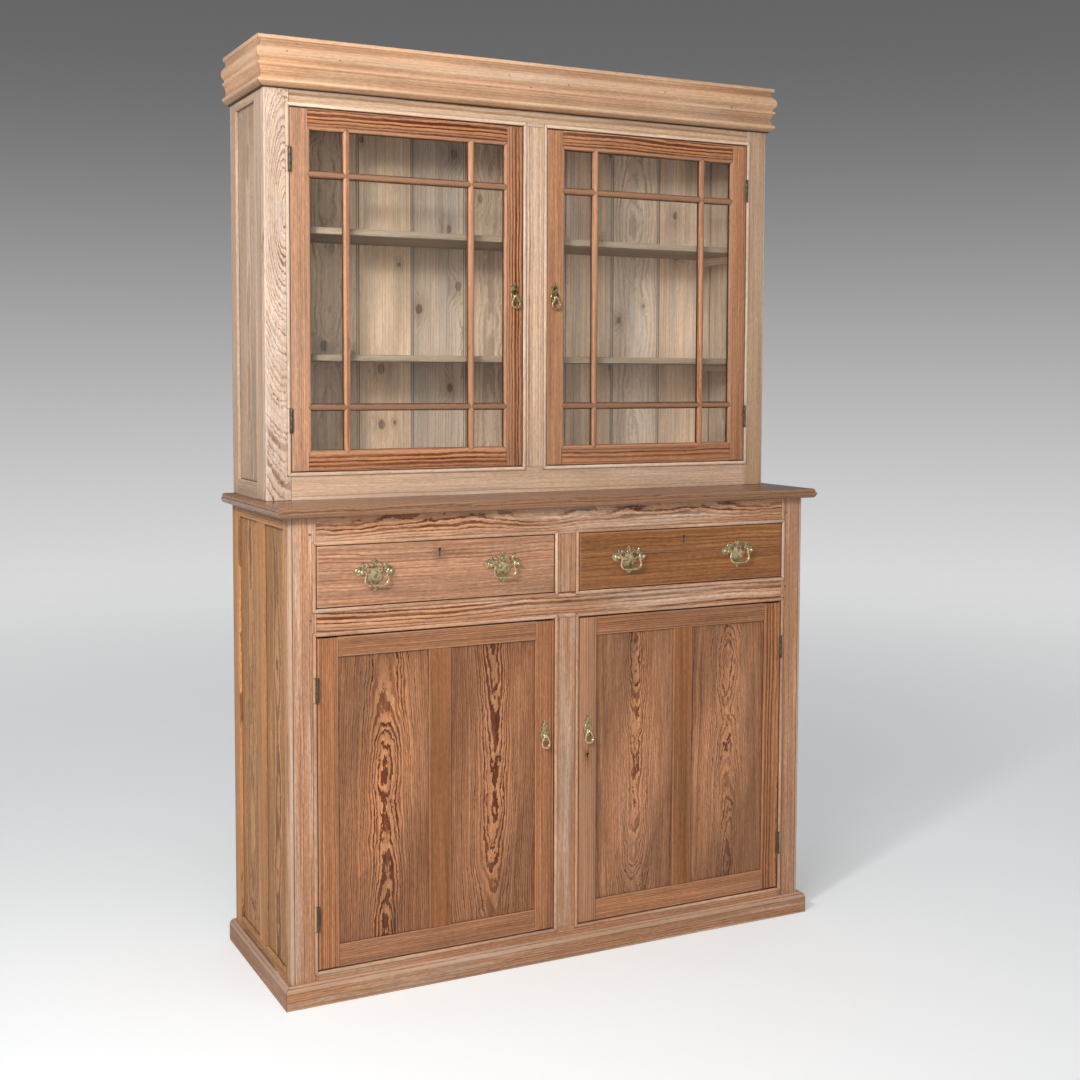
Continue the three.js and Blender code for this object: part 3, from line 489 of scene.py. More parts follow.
def speckle(tree, parts, scales, detail, rough):
    """Noise on three parts of the grain, each at its own scale, as three separate values."""
    stretched = [times(tree, part, scale) for part, scale in zip(parts, scales)]
    place = put(tree, "ShaderNodeCombineXYZ", enumerate(stretched)).outputs[0]
    noise = put(tree, "ShaderNodeTexNoise", {
        "Vector": place, "Scale": 1.0, "Detail": detail, "Roughness": rough,
    })
    return put(tree, "ShaderNodeSeparateColor", {0: noise.outputs["Color"]}).outputs


def mark(tree, name):
    """A mark that the boards carry."""
    return put(tree, "ShaderNodeAttribute", attribute_name=name, attribute_type="GEOMETRY")


def new_group(name, inputs):
    """A node group with named inputs, which gives out a colour, a roughness and a height."""
    group = bpy.data.node_groups.new(name, "ShaderNodeTree")
    for label, value in inputs.items():
        kind = "Float" if isinstance(value, float) else "Color"
        socket = group.interface.new_socket(label, in_out="INPUT", socket_type=f"NodeSocket{kind}")
        socket.default_value = value
    for label, kind in (("Colour", "Color"), ("Roughness", "Float"), ("Height", "Float")):
        group.interface.new_socket(label, in_out="OUTPUT", socket_type=f"NodeSocket{kind}")
    return group, group.nodes.new("NodeGroupInput").outputs, group.nodes.new("NodeGroupOutput").inputs


def colour(code):
    """A screen colour such as C08058 as linear light."""
    parts = np.array([int(code[i:i + 2], 16) for i in (0, 2, 4)]) / 255
    light = np.where(parts <= 0.04045, parts / 12.92, ((parts + 0.055) / 1.055) ** 2.4)
    return (*light, 1.0)


def pine_group():
    """Sawn pine: year rings round the heart, fibres, knots, clouds, worn edges, small flecks, and grime with
    painted shade by the foot mark.

    The rings are counted along the distance from the heart, which sways, ripples and frays on its way.
    """
    tree, given, result = new_group("pine_grain", {
        "Early Wood": colour("D9AE88"), "Late Wood": colour("8A5A36"), "Worn Wood": colour("E8C8A4"),
        "Contrast": 0.7, "Fibre": 0.25, "Cloud": 0.2, "Wear": 0.4, "Fleck": 0.25, "Sheen": 0.55,
        "Late Share": 0.45, "Grime And Shade": 0.4, "Haze": 0.2, "Streak": 0.6})
    grain, figure, tone = (
        put(tree, "ShaderNodeSeparateXYZ", {0: mark(tree, name).outputs["Vector"]}).outputs
        for name in ("grain", "figure", "tone"))
    edge, foot = (mark(tree, name).outputs["Fac"] for name in ("edge", "foot"))
    along, across, depth = grain
    ring, flame, bold = figure
    light, warm, knots = tone
    slow, ripple, jagged, fibre, streak, broad = (
        speckle(tree, grain, (lengthwise, crosswise, crosswise), detail, rough)
        for lengthwise, crosswise, detail, rough in (
            (3.4, 4.5, 2.0, 0.5), (24.0, 55.0, 3.0, 0.65), (75.0, 300.0, 2.0, 0.6),
            (11.0, 340.0, 3.0, 0.65), (2.4, 85.0, 3.0, 0.6), (1.8, 15.0, 3.0, 0.62)))

    # Knots: one chance in each cell of a grid, longer along the grain
    cells = put(tree, "ShaderNodeCombineXYZ", {0: times(tree, along, 6.0), 1: times(tree, across, 9.0)})
    knot = put(tree, "ShaderNodeTexVoronoi", {
        "Vector": cells.outputs[0], "Scale": 1.0, "Randomness": 1.0}, voronoi_dimensions="2D")
    chance = put(tree, "ShaderNodeSeparateColor", {0: knot.outputs["Color"]}).outputs
    present = times(tree, sum_of(tree, "GREATER_THAN", chance[0], 0.45), knots)
    size = graded(tree, chance[1], 0.0, 1.0, 0.04, 0.12)
    from_knot = sum_of(tree, "DIVIDE", swing(tree, ripple[1], 0.06, knot.outputs["Distance"]), size)
    core = times(tree, graded(tree, from_knot, 0.75, 0.5), present)
    halo = times(tree, graded(tree, from_knot, 3.2, 0.6), present)

    def swayed(part, which, sway_share, ripple_share, bite):
        """A part of the grain moved by its slow sway, its ripples and its jagged fibres."""
        for noise, amount in ((slow, times(tree, flame, sway_share)),
                              (ripple, times(tree, flame, ripple_share)), (jagged, bite)):
            part = swing(tree, noise[which], amount, part)
        return part

    # Year rings, each of its own width and depth of colour, pale at first and dark at its end
    behind = swayed(depth, 1, 5.5, 1.1, 0.0030)
    radius = put(tree, "ShaderNodeVectorMath", {0: put(tree, "ShaderNodeCombineXYZ", {
        0: swayed(across, 0, 2.4, 0.5, 0.0014), 1: behind}).outputs[0]}, operation="LENGTH")
    radius = radius.outputs["Value"]
    turns = sum_of(tree, "DIVIDE", radius, ring)
    uneven = put(tree, "ShaderNodeTexNoise", {
        "W": times(tree, turns, 0.45), "Scale": 1.0, "Detail": 1.0}, noise_dimensions="1D").outputs["Fac"]
    phase = sum_of(tree, "MULTIPLY_ADD", uneven, 1.6, turns)
    phase = sum_of(tree, "MULTIPLY_ADD", halo, 2.4, phase)
    year = put(tree, "ShaderNodeTexWhiteNoise", {"W": sum_of(tree, "FLOOR", phase)},
               noise_dimensions="1D").outputs["Color"]
    year = put(tree, "ShaderNodeSeparateColor", {0: year}).outputs
    within = sum_of(tree, "FRACT", phase)
    onset = sum_of(tree, "SUBTRACT", sum_of(tree, "MULTIPLY_ADD", year[1], 0.36, 0.82),
                   given["Late Share"])
    rise = graded(tree, within, sum_of(tree, "SUBTRACT", onset, 0.10), sum_of(tree, "ADD", onset, 0.05))
    slope = graded(tree, within, 0.0, onset, 0.0, 0.25)
    late = times(tree, sum_of(tree, "MAXIMUM", rise, slope), graded(tree, within, 1.0, 0.94))
    for value, low, high, least, most in ((year[0], 0.0, 1.0, 0.45, 1.15), (fibre[0], 0.25, 0.75, 0.7, 1.15),
                                          (broad[0], 0.3, 0.7, 0.75, 1.2)):
        late = times(tree, late, graded(tree, value, low, high, least, most))

    # Where the saw ran along the rings they blur to their usual share
    flat = sum_of(tree, "DIVIDE", sum_of(tree, "ABSOLUTE", behind), radius)
    usual = times(tree, given["Late Share"], 0.84)
    late = sum_of(tree, "MULTIPLY_ADD", sum_of(tree, "SUBTRACT", late, usual),
                  graded(tree, flat, 0.35, 0.93, 0.75, 1.1), usual)
    share = times(tree, late, times(tree, bold, given["Contrast"]), clamp=True)
    shade = blended(tree, share, given["Early Wood"], given["Late Wood"])
    shade = blended(tree, times(tree, halo, 0.4), shade, colour("8C6A45"))
    shade = blended(tree, times(tree, core, 0.75), shade, colour("5E4028"))
    pale = sum_of(tree, "MULTIPLY_ADD", streak[2], 0.6, times(tree, broad[2], 0.4))
    haze = times(tree, graded(tree, pale, 0.46, 0.62), given["Haze"])
    shade = blended(tree, haze, shade, given["Worn Wood"])

    # Light and dark, warm and cool
    deep = times(tree, graded(tree, ripple[2], 0.48, 0.66), graded(tree, share, 0.55, 0.95))
    level = swing(tree, fibre[1], given["Fibre"])
    for factor in (swing(tree, broad[0], given["Cloud"]), swing(tree, streak[0], given["Streak"]),
                   swing(tree, jagged[2], times(tree, given["Fleck"], -1.5)),
                   sum_of(tree, "MULTIPLY_ADD", deep, -0.3, 1.0), sum_of(tree, "ADD", 1.0, light)):
        level = times(tree, level, factor)
    warmth = swing(tree, streak[1], 0.3, swing(tree, broad[1], 0.5, warm))
    tint = [sum_of(tree, "MULTIPLY_ADD", warmth, 0.35, 1.0), 1.0,
            sum_of(tree, "MULTIPLY_ADD", warmth, -0.6, 1.0)]
    for parts in (tint, [level] * 3):
        shade = blended(tree, 1.0, shade, put(tree, "ShaderNodeCombineColor", enumerate(parts)).outputs[0],
                        "MULTIPLY")
    rough_edge = swing(tree, jagged[1], 0.004, edge)
    worn = times(tree, graded(tree, rough_edge, 0.0030, 0.0002), given["Wear"])
    shade = blended(tree, worn, shade, given["Worn Wood"])

    # Grime in a joint, and painted shade with grime at the foot of a moulding, in grooves and creases and
    # under overhangs: colour 3A2416 where the foot mark nears zero
    grime_and_shade = times(tree, graded(tree, swing(tree, slow[0], 0.010, foot), 0.011, 0.0), given["Grime And Shade"])
    grime_and_shade = sum_of(tree, "MAXIMUM", grime_and_shade, graded(tree, foot, 0.0045, 0.0))
    shade = blended(tree, grime_and_shade, shade, colour("3A2416"))

    gloss = sum_of(tree, "SUBTRACT", swing(tree, broad[2], 0.22, given["Sheen"]), times(tree, share, 0.10))
    height = sum_of(tree, "MULTIPLY_ADD", share, 0.6, times(tree, fibre[1], 0.4))
    height = sum_of(tree, "SUBTRACT", height, times(tree, graded(tree, jagged[2], 0.60, 0.72), 0.5))
    for label, socket in (("Colour", shade), ("Roughness", gloss), ("Height", height)):
        tree.links.new(socket, result[label])
    return tree


def fresh_finish(name):
    """An empty material, with its tree and its Principled shader."""
    finish = bpy.data.materials.new(name)
    finish.use_nodes = True
    tree = finish.node_tree
    return finish, tree, tree.nodes["Principled BSDF"]


def grouped_finish(name, group, values, relief, depth):
    """A finish with a group's colour, roughness and height joined to its shader."""
    finish, tree, shader = fresh_finish(name)
    node = tree.nodes.new("ShaderNodeGroup")
    node.node_tree = group
    for label, value in values.items():
        node.inputs[label].default_value = value
    bump = put(tree, "ShaderNodeBump", {
        "Strength": relief, "Distance": depth, "Height": node.outputs["Height"]})
    tree.links.new(node.outputs["Colour"], shader.inputs["Base Color"])
    tree.links.new(node.outputs["Roughness"], shader.inputs["Roughness"])
    tree.links.new(bump.outputs["Normal"], shader.inputs["Normal"])
    return finish, shader


def pine(name, early, late, worn, contrast, sheen, cloud, fibre=0.3, wear=0.4, fleck=0.3,
         relief=0.35, share=0.45, haze=0.2, streak=0.6):
    """A pine finish from the shared grain."""
    finish, shader = grouped_finish(name, PINE, {
        "Early Wood": colour(early), "Late Wood": colour(late), "Worn Wood": colour(worn),
        "Contrast": contrast, "Sheen": sheen, "Fibre": fibre, "Cloud": cloud, "Wear": wear,
        "Fleck": fleck, "Late Share": share, "Haze": haze, "Streak": streak}, relief, 0.0006)
    shader.inputs["Specular IOR Level"].default_value = 0.35
    return finish


def metal_group():
    """Aged metal: bright on edges and high places, dull and spotted between, and near black where the foot
    mark is low, old wax with painted shade where it meets the wood.
    """
    tree, given, result = new_group("aged_metal", {
        "Bright": colour("E0CC98"), "Dull": colour("8A7A4A"), "Age": 0.5, "Gloss": 0.3})
    place = put(tree, "ShaderNodeTexCoord").outputs["Object"]
    broad, fine = (put(tree, "ShaderNodeTexNoise", {"Vector": place, "Scale": scale, "Detail": detail})
                   for scale, detail in ((140.0, 3.0), (900.0, 2.0)))
    edge = graded(tree, mark(tree, "edge").outputs["Fac"], 0.0, 0.003)
    cloud = graded(tree, broad.outputs["Fac"], 0.32, 0.68)
    age = times(tree, times(tree, cloud, given["Age"]), graded(tree, edge, 0.0, 1.0, 0.25, 1.0), clamp=True)
    age = sum_of(tree, "MAXIMUM", age, graded(tree, edge, 0.5, 1.0, 0.0, 0.4))
    shade = blended(tree, age, given["Bright"], given["Dull"])
    # Old wax with painted shade: near black where the foot mark is low, on the plate's back rim and on its
    # dark skin
    wax_and_shade = graded(tree, mark(tree, "foot").outputs["Fac"], 0.004, 0.0)
    shade = blended(tree, wax_and_shade, shade, colour("20150C"))
    gloss = sum_of(tree, "MULTIPLY_ADD", age, 0.18, given["Gloss"])
    gloss = sum_of(tree, "MULTIPLY_ADD", fine.outputs["Fac"], 0.08, gloss)
    height = sum_of(tree, "MULTIPLY_ADD", broad.outputs["Fac"], 0.6, fine.outputs["Fac"])
    for label, socket in (("Colour", shade), ("Roughness", gloss), ("Height", height)):
        tree.links.new(socket, result[label])
    return tree


def aged_metal(name, bright, dull, age, gloss, metallic):
    """A metal finish from the shared ageing."""
    finish, shader = grouped_finish(name, METAL_GROUP, {
        "Bright": colour(bright), "Dull": colour(dull), "Age": age, "Gloss": gloss}, 0.12, 0.0001)
    shader.inputs["Metallic"].default_value = metallic
    return finish


def glass_finish():
    """Old drawn glass: clear, faintly wavy, and open to the lamps."""
    finish, tree, shader = fresh_finish("old_glass")
    place = put(tree, "ShaderNodeTexCoord").outputs["Object"]
    wave = put(tree, "ShaderNodeTexNoise", {"Vector": place, "Scale": 9.0, "Detail": 1.0})
    bump = put(tree, "ShaderNodeBump", {
        "Strength": 0.12, "Distance": 0.004, "Height": wave.outputs["Fac"]})
    dust = put(tree, "ShaderNodeTexNoise", {"Vector": place, "Scale": 30.0, "Detail": 4.0})
    shader.inputs["Base Color"].default_value = (0.97, 0.985, 0.975, 1)
    tree.links.new(graded(tree, dust.outputs["Fac"], 0.4, 0.8, 0.0, 0.07), shader.inputs["Roughness"])
    shader.inputs["Transmission Weight"].default_value = 1.0
    shader.inputs["IOR"].default_value = 1.45
    tree.links.new(bump.outputs["Normal"], shader.inputs["Normal"])
    clear = put(tree, "ShaderNodeBsdfTransparent")
    mix = put(tree, "ShaderNodeMixShader", {
        0: put(tree, "ShaderNodeLightPath").outputs["Is Shadow Ray"],
        1: shader.outputs[0], 2: clear.outputs[0]})
    tree.links.new(mix.outputs[0], tree.nodes["Material Output"].inputs["Surface"])
    return finish


PINE = pine_group()
METAL_GROUP = metal_group()
PALE = pine("pale_pine", "E6C4A6", "96603C", "F0DCC8", 0.9, 0.62, fibre=0.6, cloud=0.6, share=0.28,
            haze=0.35, fleck=0.45)
CORNICE_PINE = pine("cornice_pine", "DEAF89", "8C5C38", "E8CBAC", 0.6, 0.58, cloud=1.0, share=0.36,
                    haze=0.4, fleck=0.5, streak=0.45)
FRAME_PINE = pine("frame_pine", "D29C76", "74401F", "E6CAB2", 1.0, 0.55, fibre=0.75, cloud=1.1,
                  share=0.34, haze=0.5, fleck=0.6, streak=0.8)
RED = pine("red_pine", "CA8C60", "6A3216", "D4A686", 1.0, 0.46, fibre=0.85, cloud=0.7, share=0.40,
           haze=0.14, streak=1.0, fleck=0.55)
DRAWER_PINE = pine("drawer_pine", "BE8C6A", "743F26", "CFA688", 0.65, 0.42, fibre=1.0, cloud=1.0,
                   haze=0.3, streak=1.1, fleck=0.7)
SIDE = pine("side_pine", "D39A66", "74421E", "DDB88C", 1.1, 0.6, fibre=0.8, cloud=1.0, share=0.34,
            fleck=0.5)
WAXED = pine("waxed_pine", "925E42", "44200F", "C79C78", 1.0, 0.28, fibre=0.5, cloud=1.0, relief=0.15,
             streak=1.2)
INSIDE = pine("inside_pine", "D8BEA2", "94765A", "E0D0BC", 0.6, 0.8, fibre=0.5, cloud=0.9, wear=0.3,
              share=0.30, haze=0.4)
BRASS = aged_metal("brass", "F6E0B0", "5C4322", 0.85, 0.17, 0.8)
OLD_BRASS = aged_metal("tarnished_brass", "E0C898", "44331C", 1.0, 0.2, 0.85)
IRON = aged_metal("hinge_iron", "6E6858", "2E2B22", 0.8, 0.42, 0.7)
GLASS = glass_finish()


def four_sides(x0, x1, z0, z1):
    """The foot, top, left and right of an opening: the way out of it, its place, its span and its axis."""
    return ((-AXES[2], AXES[2] * z0, (x0, x1), 0), (AXES[2], AXES[2] * z1, (x0, x1), 0),
            (-AXES[0], AXES[0] * x0, (z0, z1), 2), (AXES[0], AXES[0] * x1, (z0, z1), 2))


def bead_section(inner, outer, face):
    """A half-round bead: u = inner + w (1 - cos a) / 2, v = face - proud (0.45 + 0.53 sin a)."""
    angle = np.linspace(0, np.pi, 7)
    u = inner + (outer - inner) * (1 - np.cos(angle)) / 2
    v = face - BEAD_PROUD * (0.45 + 0.53 * np.sin(angle))
    seat = face + 2 * MM
    outline = np.vstack([[(inner, seat)], np.column_stack([u, v]), [(outer, seat)]])
    edge = np.array([4, 3, 2.5, 2, 1.6, 2, 2.5, 3, 4]) * MM
    # Foot mark: zero where the bead meets the frame on both sides, painted shade with grime in those creases
    return outline, edge, np.array([0, 4, 12, 12, 12, 12, 6, 1, 0]) * MM


def opening_bead(work, x0, x1, z0, z1, face, hung, seed, light):
    """The bead round one opening, mitred at its corners and notched for the hinge barrels."""
    whole = bead_section(0, BEAD, face)
    notch = bead_section(2.4 * MM, BEAD, face)
    hair, room = 0.1 * MM, 0.5 * MM
    for index, (way, at, span, along) in enumerate(four_sides(x0, x1, z0, z1)):
        lo, hi = np.array([x0, face, z0]), np.array([x1, face + 0.01, z1])
        other = 2 if along == 0 else 0
        lo[other] = hi[other] = at[other]
        hi[other] += BEAD
        wood = Timber(lo, hi, "xyz"[along], "fine", seed + index, light=light, contrast=0.6)
        ways = (AXES[along], way, AXES[1])
        low, high = span
        if along == 0 or hung == 0 or (hung < 0) != (index == 2):
            carry(work, wood, whole, span, ways, at, (-1, 1), hair)
            continue
        stops = [low + HINGE_INSET - room, low + HINGE_INSET + HINGE_LONG + room,
                 high - HINGE_INSET - HINGE_LONG - room, high - HINGE_INSET + room]
        for first, last, slopes in ((low, stops[0], (-1, 0)), (stops[1], stops[2], (0, 0)),
                                    (stops[3], high, (0, 1))):
            carry(work, wood, whole, (first, last), ways, at, slopes, hair)
        for first, last in (stops[:2], stops[2:]):
            carry(work, wood, notch, (first, last), ways, at, (0, 0), hair)


def peg(work, x, z, face, seed, radius=3.1 * MM, foot=4.2 * MM):
    """The end of a peg or a nail, a low dome."""
    around, sides = 0.003, 12
    wood = Timber((x - around, face, z - around), (x + around, face + 0.02, z + around), "y", "fine",
                  seed, light=-0.45, warm=0.05)
    turn = np.linspace(0, 2 * np.pi, sides, endpoint=False)
    dome = ((1, 1 * MM), (1, -0.05 * MM), (0.8, -0.25 * MM), (0.3, -0.3 * MM))
    points = np.vstack([np.column_stack([x + r * radius * np.cos(turn), np.full(sides, face + out),
                                         z + r * radius * np.sin(turn)]) for r, out in dome])
    work.take(points, ring_faces(len(dome), sides), wood.marks(points, PLAIN_EDGE, foot))


def corner_post(work, side, seed):
    """A base corner post with a bead on its outer corner between two square grooves."""
    y0, y1 = BASE_FACE, BASE_FACE + FRAME_THICK
    x0, x1 = sorted((side * HALF_BASE, side * OUTER))
    wood = Timber((x0, y0, 0), (x1, y1, BASE_TOP), "z", "straight", seed, light=-0.02, ring=0.0030)
    bead, quirk, hair = 7 * MM, 1.5 * MM, 0.1 * MM
    width = HALF_BASE - OUTER
    corners = [(0, y1), (0, y0 + bead + quirk), (quirk, y0 + bead + quirk), (quirk, y0 + bead),
               (0, y0 + bead), (0, y0), (bead, y0), (bead, y0 + quirk), (bead + quirk, y0 + quirk),
               (bead + quirk, y0), (width, y0), (width, y1)]
    radii = np.array([0.3, 0.5, 0, 0, 2.2, 3.2, 2.2, 0, 0, 0.5, 0.3, 0.3]) * MM
    points, edge = rounded(corners, radii)
    u, v = points.T
    past = y0 + bead + quirk
    in_front = (u > bead - hair) & (u < bead + quirk + hair) & (v > y0 + quirk / 3) & (v < past)
    at_side = (v > y0 + bead - hair) & (v < past + hair) & (u > quirk / 3) & (u < bead + quirk)
    # Foot mark zero in the two quirks beside the bead: painted shade with grime in the grooves
    carry(work, wood, (points, edge, np.where(in_front | at_side, 0, PLAIN_EDGE)), (0, BASE_TOP),
          (AXES[2], -side * AXES[0], AXES[1]), origin=(side * HALF_BASE, 0, 0))


def base_face_frame():
    """Posts, three rails, two short centre posts, four beads and the ends of the pegs."""
    work = Work()
    y0, y1 = BASE_FACE, BASE_FACE + FRAME_THICK
    corner_post(work, -1, 101)
    corner_post(work, 1, 102)
    for z0, z1, kind, light, contrast, seed, heart in (
            (0, DOOR_FOOT, "straight", 0.0, 0.8, 103, None),
            (DOOR_TOP, DRAWER_FOOT, "bold", 0.02, 1.15, 104, (0.05, 0.035)),
            (DRAWER_TOP, BASE_TOP, "flame", 0.0, 0.95, 117, (0.026, 0.030))):
        plank(work, (-OUTER, y0, z0), (OUTER, y1, z1), "x", kind=kind, light=light,
              contrast=contrast, seed=seed, heart=heart)
    for z0, z1, seed in ((DOOR_FOOT, DOOR_TOP, 107), (DRAWER_FOOT, DRAWER_TOP, 108)):
        plank(work, (-HALF_POST, y0, z0), (HALF_POST, y1, z1), "z", seed=seed, light=-0.01,
              contrast=0.9)
    for low, high, hung, seed in ((DOOR_FOOT, DOOR_TOP, 1, 110), (DRAWER_FOOT, DRAWER_TOP, 0, 120)):
        opening_bead(work, -OUTER, -HALF_POST, low, high, y0, -hung, seed, 0.04)
        opening_bead(work, HALF_POST, OUTER, low, high, y0, hung, seed + 20, 0.04)
    for side in (-1, 1):
        for index, z in enumerate((0.975, 0.799, 0.045)):
            peg(work, side * (OUTER + 0.012), z, y0, 150 + index)
    work.done("base_face_frame", "wood", FRAME_PINE)


def upper_face_frame():
    """Posts, frieze rail, bottom rail, a short centre post and two beads."""
    work = Work()
    y0, y1 = UPPER_FACE, UPPER_FACE + FRAME_THICK
    worn_edge = 1.2 * MM
    plank(work, (-HALF_UPPER, y0, WAIST_TOP), (-OUTER, y1, CASE_TOP), "z", worn_edge, True,
          kind="flame", seed=201, light=-0.04, warm=-0.15, ring=0.0034, heart=(0.018, 0.030),
          flame=0.0040, lean=-0.20)
    plank(work, (OUTER, y0, WAIST_TOP), (HALF_UPPER, y1, CASE_TOP), "z", worn_edge, True, seed=202,
          light=-0.27, warm=0.15, contrast=0.7)
    plank(work, (-HALF_POST, y0, GLAZED_FOOT), (HALF_POST, y1, GLAZED_TOP), "z", seed=203,
          light=0.03, contrast=1.3, ring=0.0042)
    frieze = Timber((-OUTER, y0, GLAZED_TOP), (OUTER, y1, CASE_TOP), "x", "bold", 204, light=-0.10,
                    warm=0.12, contrast=1.2, ring=0.010, heart=(0.07, 0.03))
    heights = np.array([GLAZED_TOP, CORNICE_FOOT - 22 * MM, CORNICE_FOOT - 10 * MM, CORNICE_FOOT, CASE_TOP])
    section = np.vstack([np.column_stack([heights, np.full(5, y0)]), [(CASE_TOP, y1), (GLAZED_TOP, y1)]])
    # Foot mark falling towards the cornice's foot: the frieze is painted darker under the cornice, painted
    # shade with stain
    stain_and_shade_under_cornice = np.array([PLAIN_EDGE, 13 * MM, 7 * MM, 3.6 * MM, PLAIN_EDGE, PLAIN_EDGE, PLAIN_EDGE])
    carry(work, frieze, (section, np.full(7, PLAIN_EDGE), stain_and_shade_under_cornice), (-OUTER, OUTER),
          (AXES[0], AXES[2], AXES[1]))
    plank(work, (-OUTER, y0, WAIST_TOP), (OUTER, y1, GLAZED_FOOT), "x", seed=205, kind="fine",
          light=-0.02, contrast=0.7)
    opening_bead(work, -OUTER, -HALF_POST, GLAZED_FOOT, GLAZED_TOP, y0, -1, 210, 0.02)
    opening_bead(work, HALF_POST, OUTER, GLAZED_FOOT, GLAZED_TOP, y0, 1, 220, 0.02)
    work.done("upper_face_frame", "wood", PALE)


def framed_side(node, side, half, front, foot, top, stiles, rails, muntin, finish, seed, extras=()):
    """A side of stiles, rails and sunk panels, its inner faces left bare."""
    work = Work()
    out, inn = side * half, side * (half - SIDE_THICK)
    x0, x1 = sorted((out, inn))
    (front_edge, back_edge), (low, high) = stiles, rails
    sawn = {"face": side, "light": 0.0 if muntin else -0.20}
    for y0, y1, step in ((front, front_edge, 0), (back_edge, BACK, 1)):
        plank(work, (x0, y0, foot), (x1, y1, top), "z", seed=seed + step, contrast=0.8, **sawn)
    for z0, z1, step in ((foot, low, 2), (high, top, 3)):
        plank(work, (x0, front_edge, z0), (x1, back_edge, z1), "y", seed=seed + step, **sawn)
    panels = [(front_edge, back_edge)]
    if muntin:
        middle = (front_edge + back_edge) / 2
        plank(work, (x0, middle - muntin / 2, low), (x1, middle + muntin / 2, high), "z",
              seed=seed + 4, contrast=0.8, **sawn)
        panels = [(front_edge, middle - muntin / 2), (middle + muntin / 2, back_edge)]
    recess, shy, tongue, bare = 6 * MM, 5 * MM, 1 * MM, 0.013
    p0, p1 = sorted((out - side * recess, inn + side * shy))
    sawn["light"] -= 0.03
    for index, (y0, y1) in enumerate(panels):
        plank(work, (p0, y0 - tongue, low - tongue), (p1, y1 + tongue, high + tongue), "z",
              kind="flame", seed=seed + 5 + index, contrast=1.05 if muntin else 0.75, ring=0.0046,
              flame=0.0055, sunk=tongue, **sawn)
    for lo, hi in extras:
        plank(work, lo, hi, "y", seed=seed + 8)
    work.done(node, "wood", finish, INSIDE,
              lambda centres: np.abs(centres[:, 0]) < half - bare)


def sides():
    """The two sides of the base, and the two of the upper case with their shelf bearers."""
    base_front, upper_front = BASE_FACE + FRAME_THICK, UPPER_FACE + FRAME_THICK
    base_stiles, base_rails, muntin = (BASE_FACE + 0.036, BACK - 0.046), (0.065, 0.984), 0.049
    upper_stiles, upper_rails = (UPPER_FACE + 0.071, BACK - 0.042), (1.066, 1.878)
    bearer, lap, set_back, below, shelf = 0.012, 0.019, 0.030, 0.030, 0.014
    for side, word in ((-1, "left"), (1, "right")):
        framed_side(f"base_{word}_side", side, HALF_BASE, base_front, 0, BASE_TOP, base_stiles,
                    base_rails, muntin, SIDE, 300 + 20 * side)
        x0, x1 = sorted((side * (HALF_UPPER - SIDE_THICK - bearer), side * (HALF_UPPER - lap)))
        bearers = [((x0, upper_front + set_back, top - below), (x1, BACK - BACK_THICK, top - shelf))
                   for top in SHELF_TOPS]
        framed_side(f"upper_{word}_side", side, HALF_UPPER, upper_front, WAIST_TOP, CASE_TOP,
                    upper_stiles, upper_rails, 0, PALE, 350 + 20 * side, bearers)


def moulded_lengths(work, half, face, outline, seed, **sawing):
    """A moulding in three lengths: along the front and both ends, mitred at the corners."""
    section = outline[0]
    depth, height = section.max(0)
    foot = section[:, 1].min()
    wood = Timber((-half, face - depth, foot), (half, face, height), "x", seed=seed, **sawing)
    carry(work, wood, outline, (-half, half), (AXES[0], -AXES[1], AXES[2]), (0, face, 0), (-1, 1))
    for side in (-1, 1):
        x0, x1 = sorted((side * half, side * (half + depth)))
        wood = Timber((x0, face, foot), (x1, BACK, height), "y", seed=seed + 2 + side, **sawing)
        carry(work, wood, outline, (face, BACK), (AXES[1], side * AXES[0], AXES[2]),
              (side * half, 0, 0), (-1, 0), jointed=(True, False))


def plinth():
    """Three plinth boards with a softened chamfer."""
    work = Work()
    chamfer = 7 * MM
    section = [(0, 0), (PLINTH_THICK, 0), (PLINTH_THICK, PLINTH_TOP - chamfer),
               (PLINTH_THICK - chamfer, PLINTH_TOP), (0, PLINTH_TOP)]
    outline = rounded(section, np.array([0.3, 1.5, 2.5, 2.0, 0.3]) * MM)
    moulded_lengths(work, HALF_BASE, BASE_FACE, outline, 401, contrast=0.9, light=-0.18)
    work.done("plinth", "wood", FRAME_PINE)


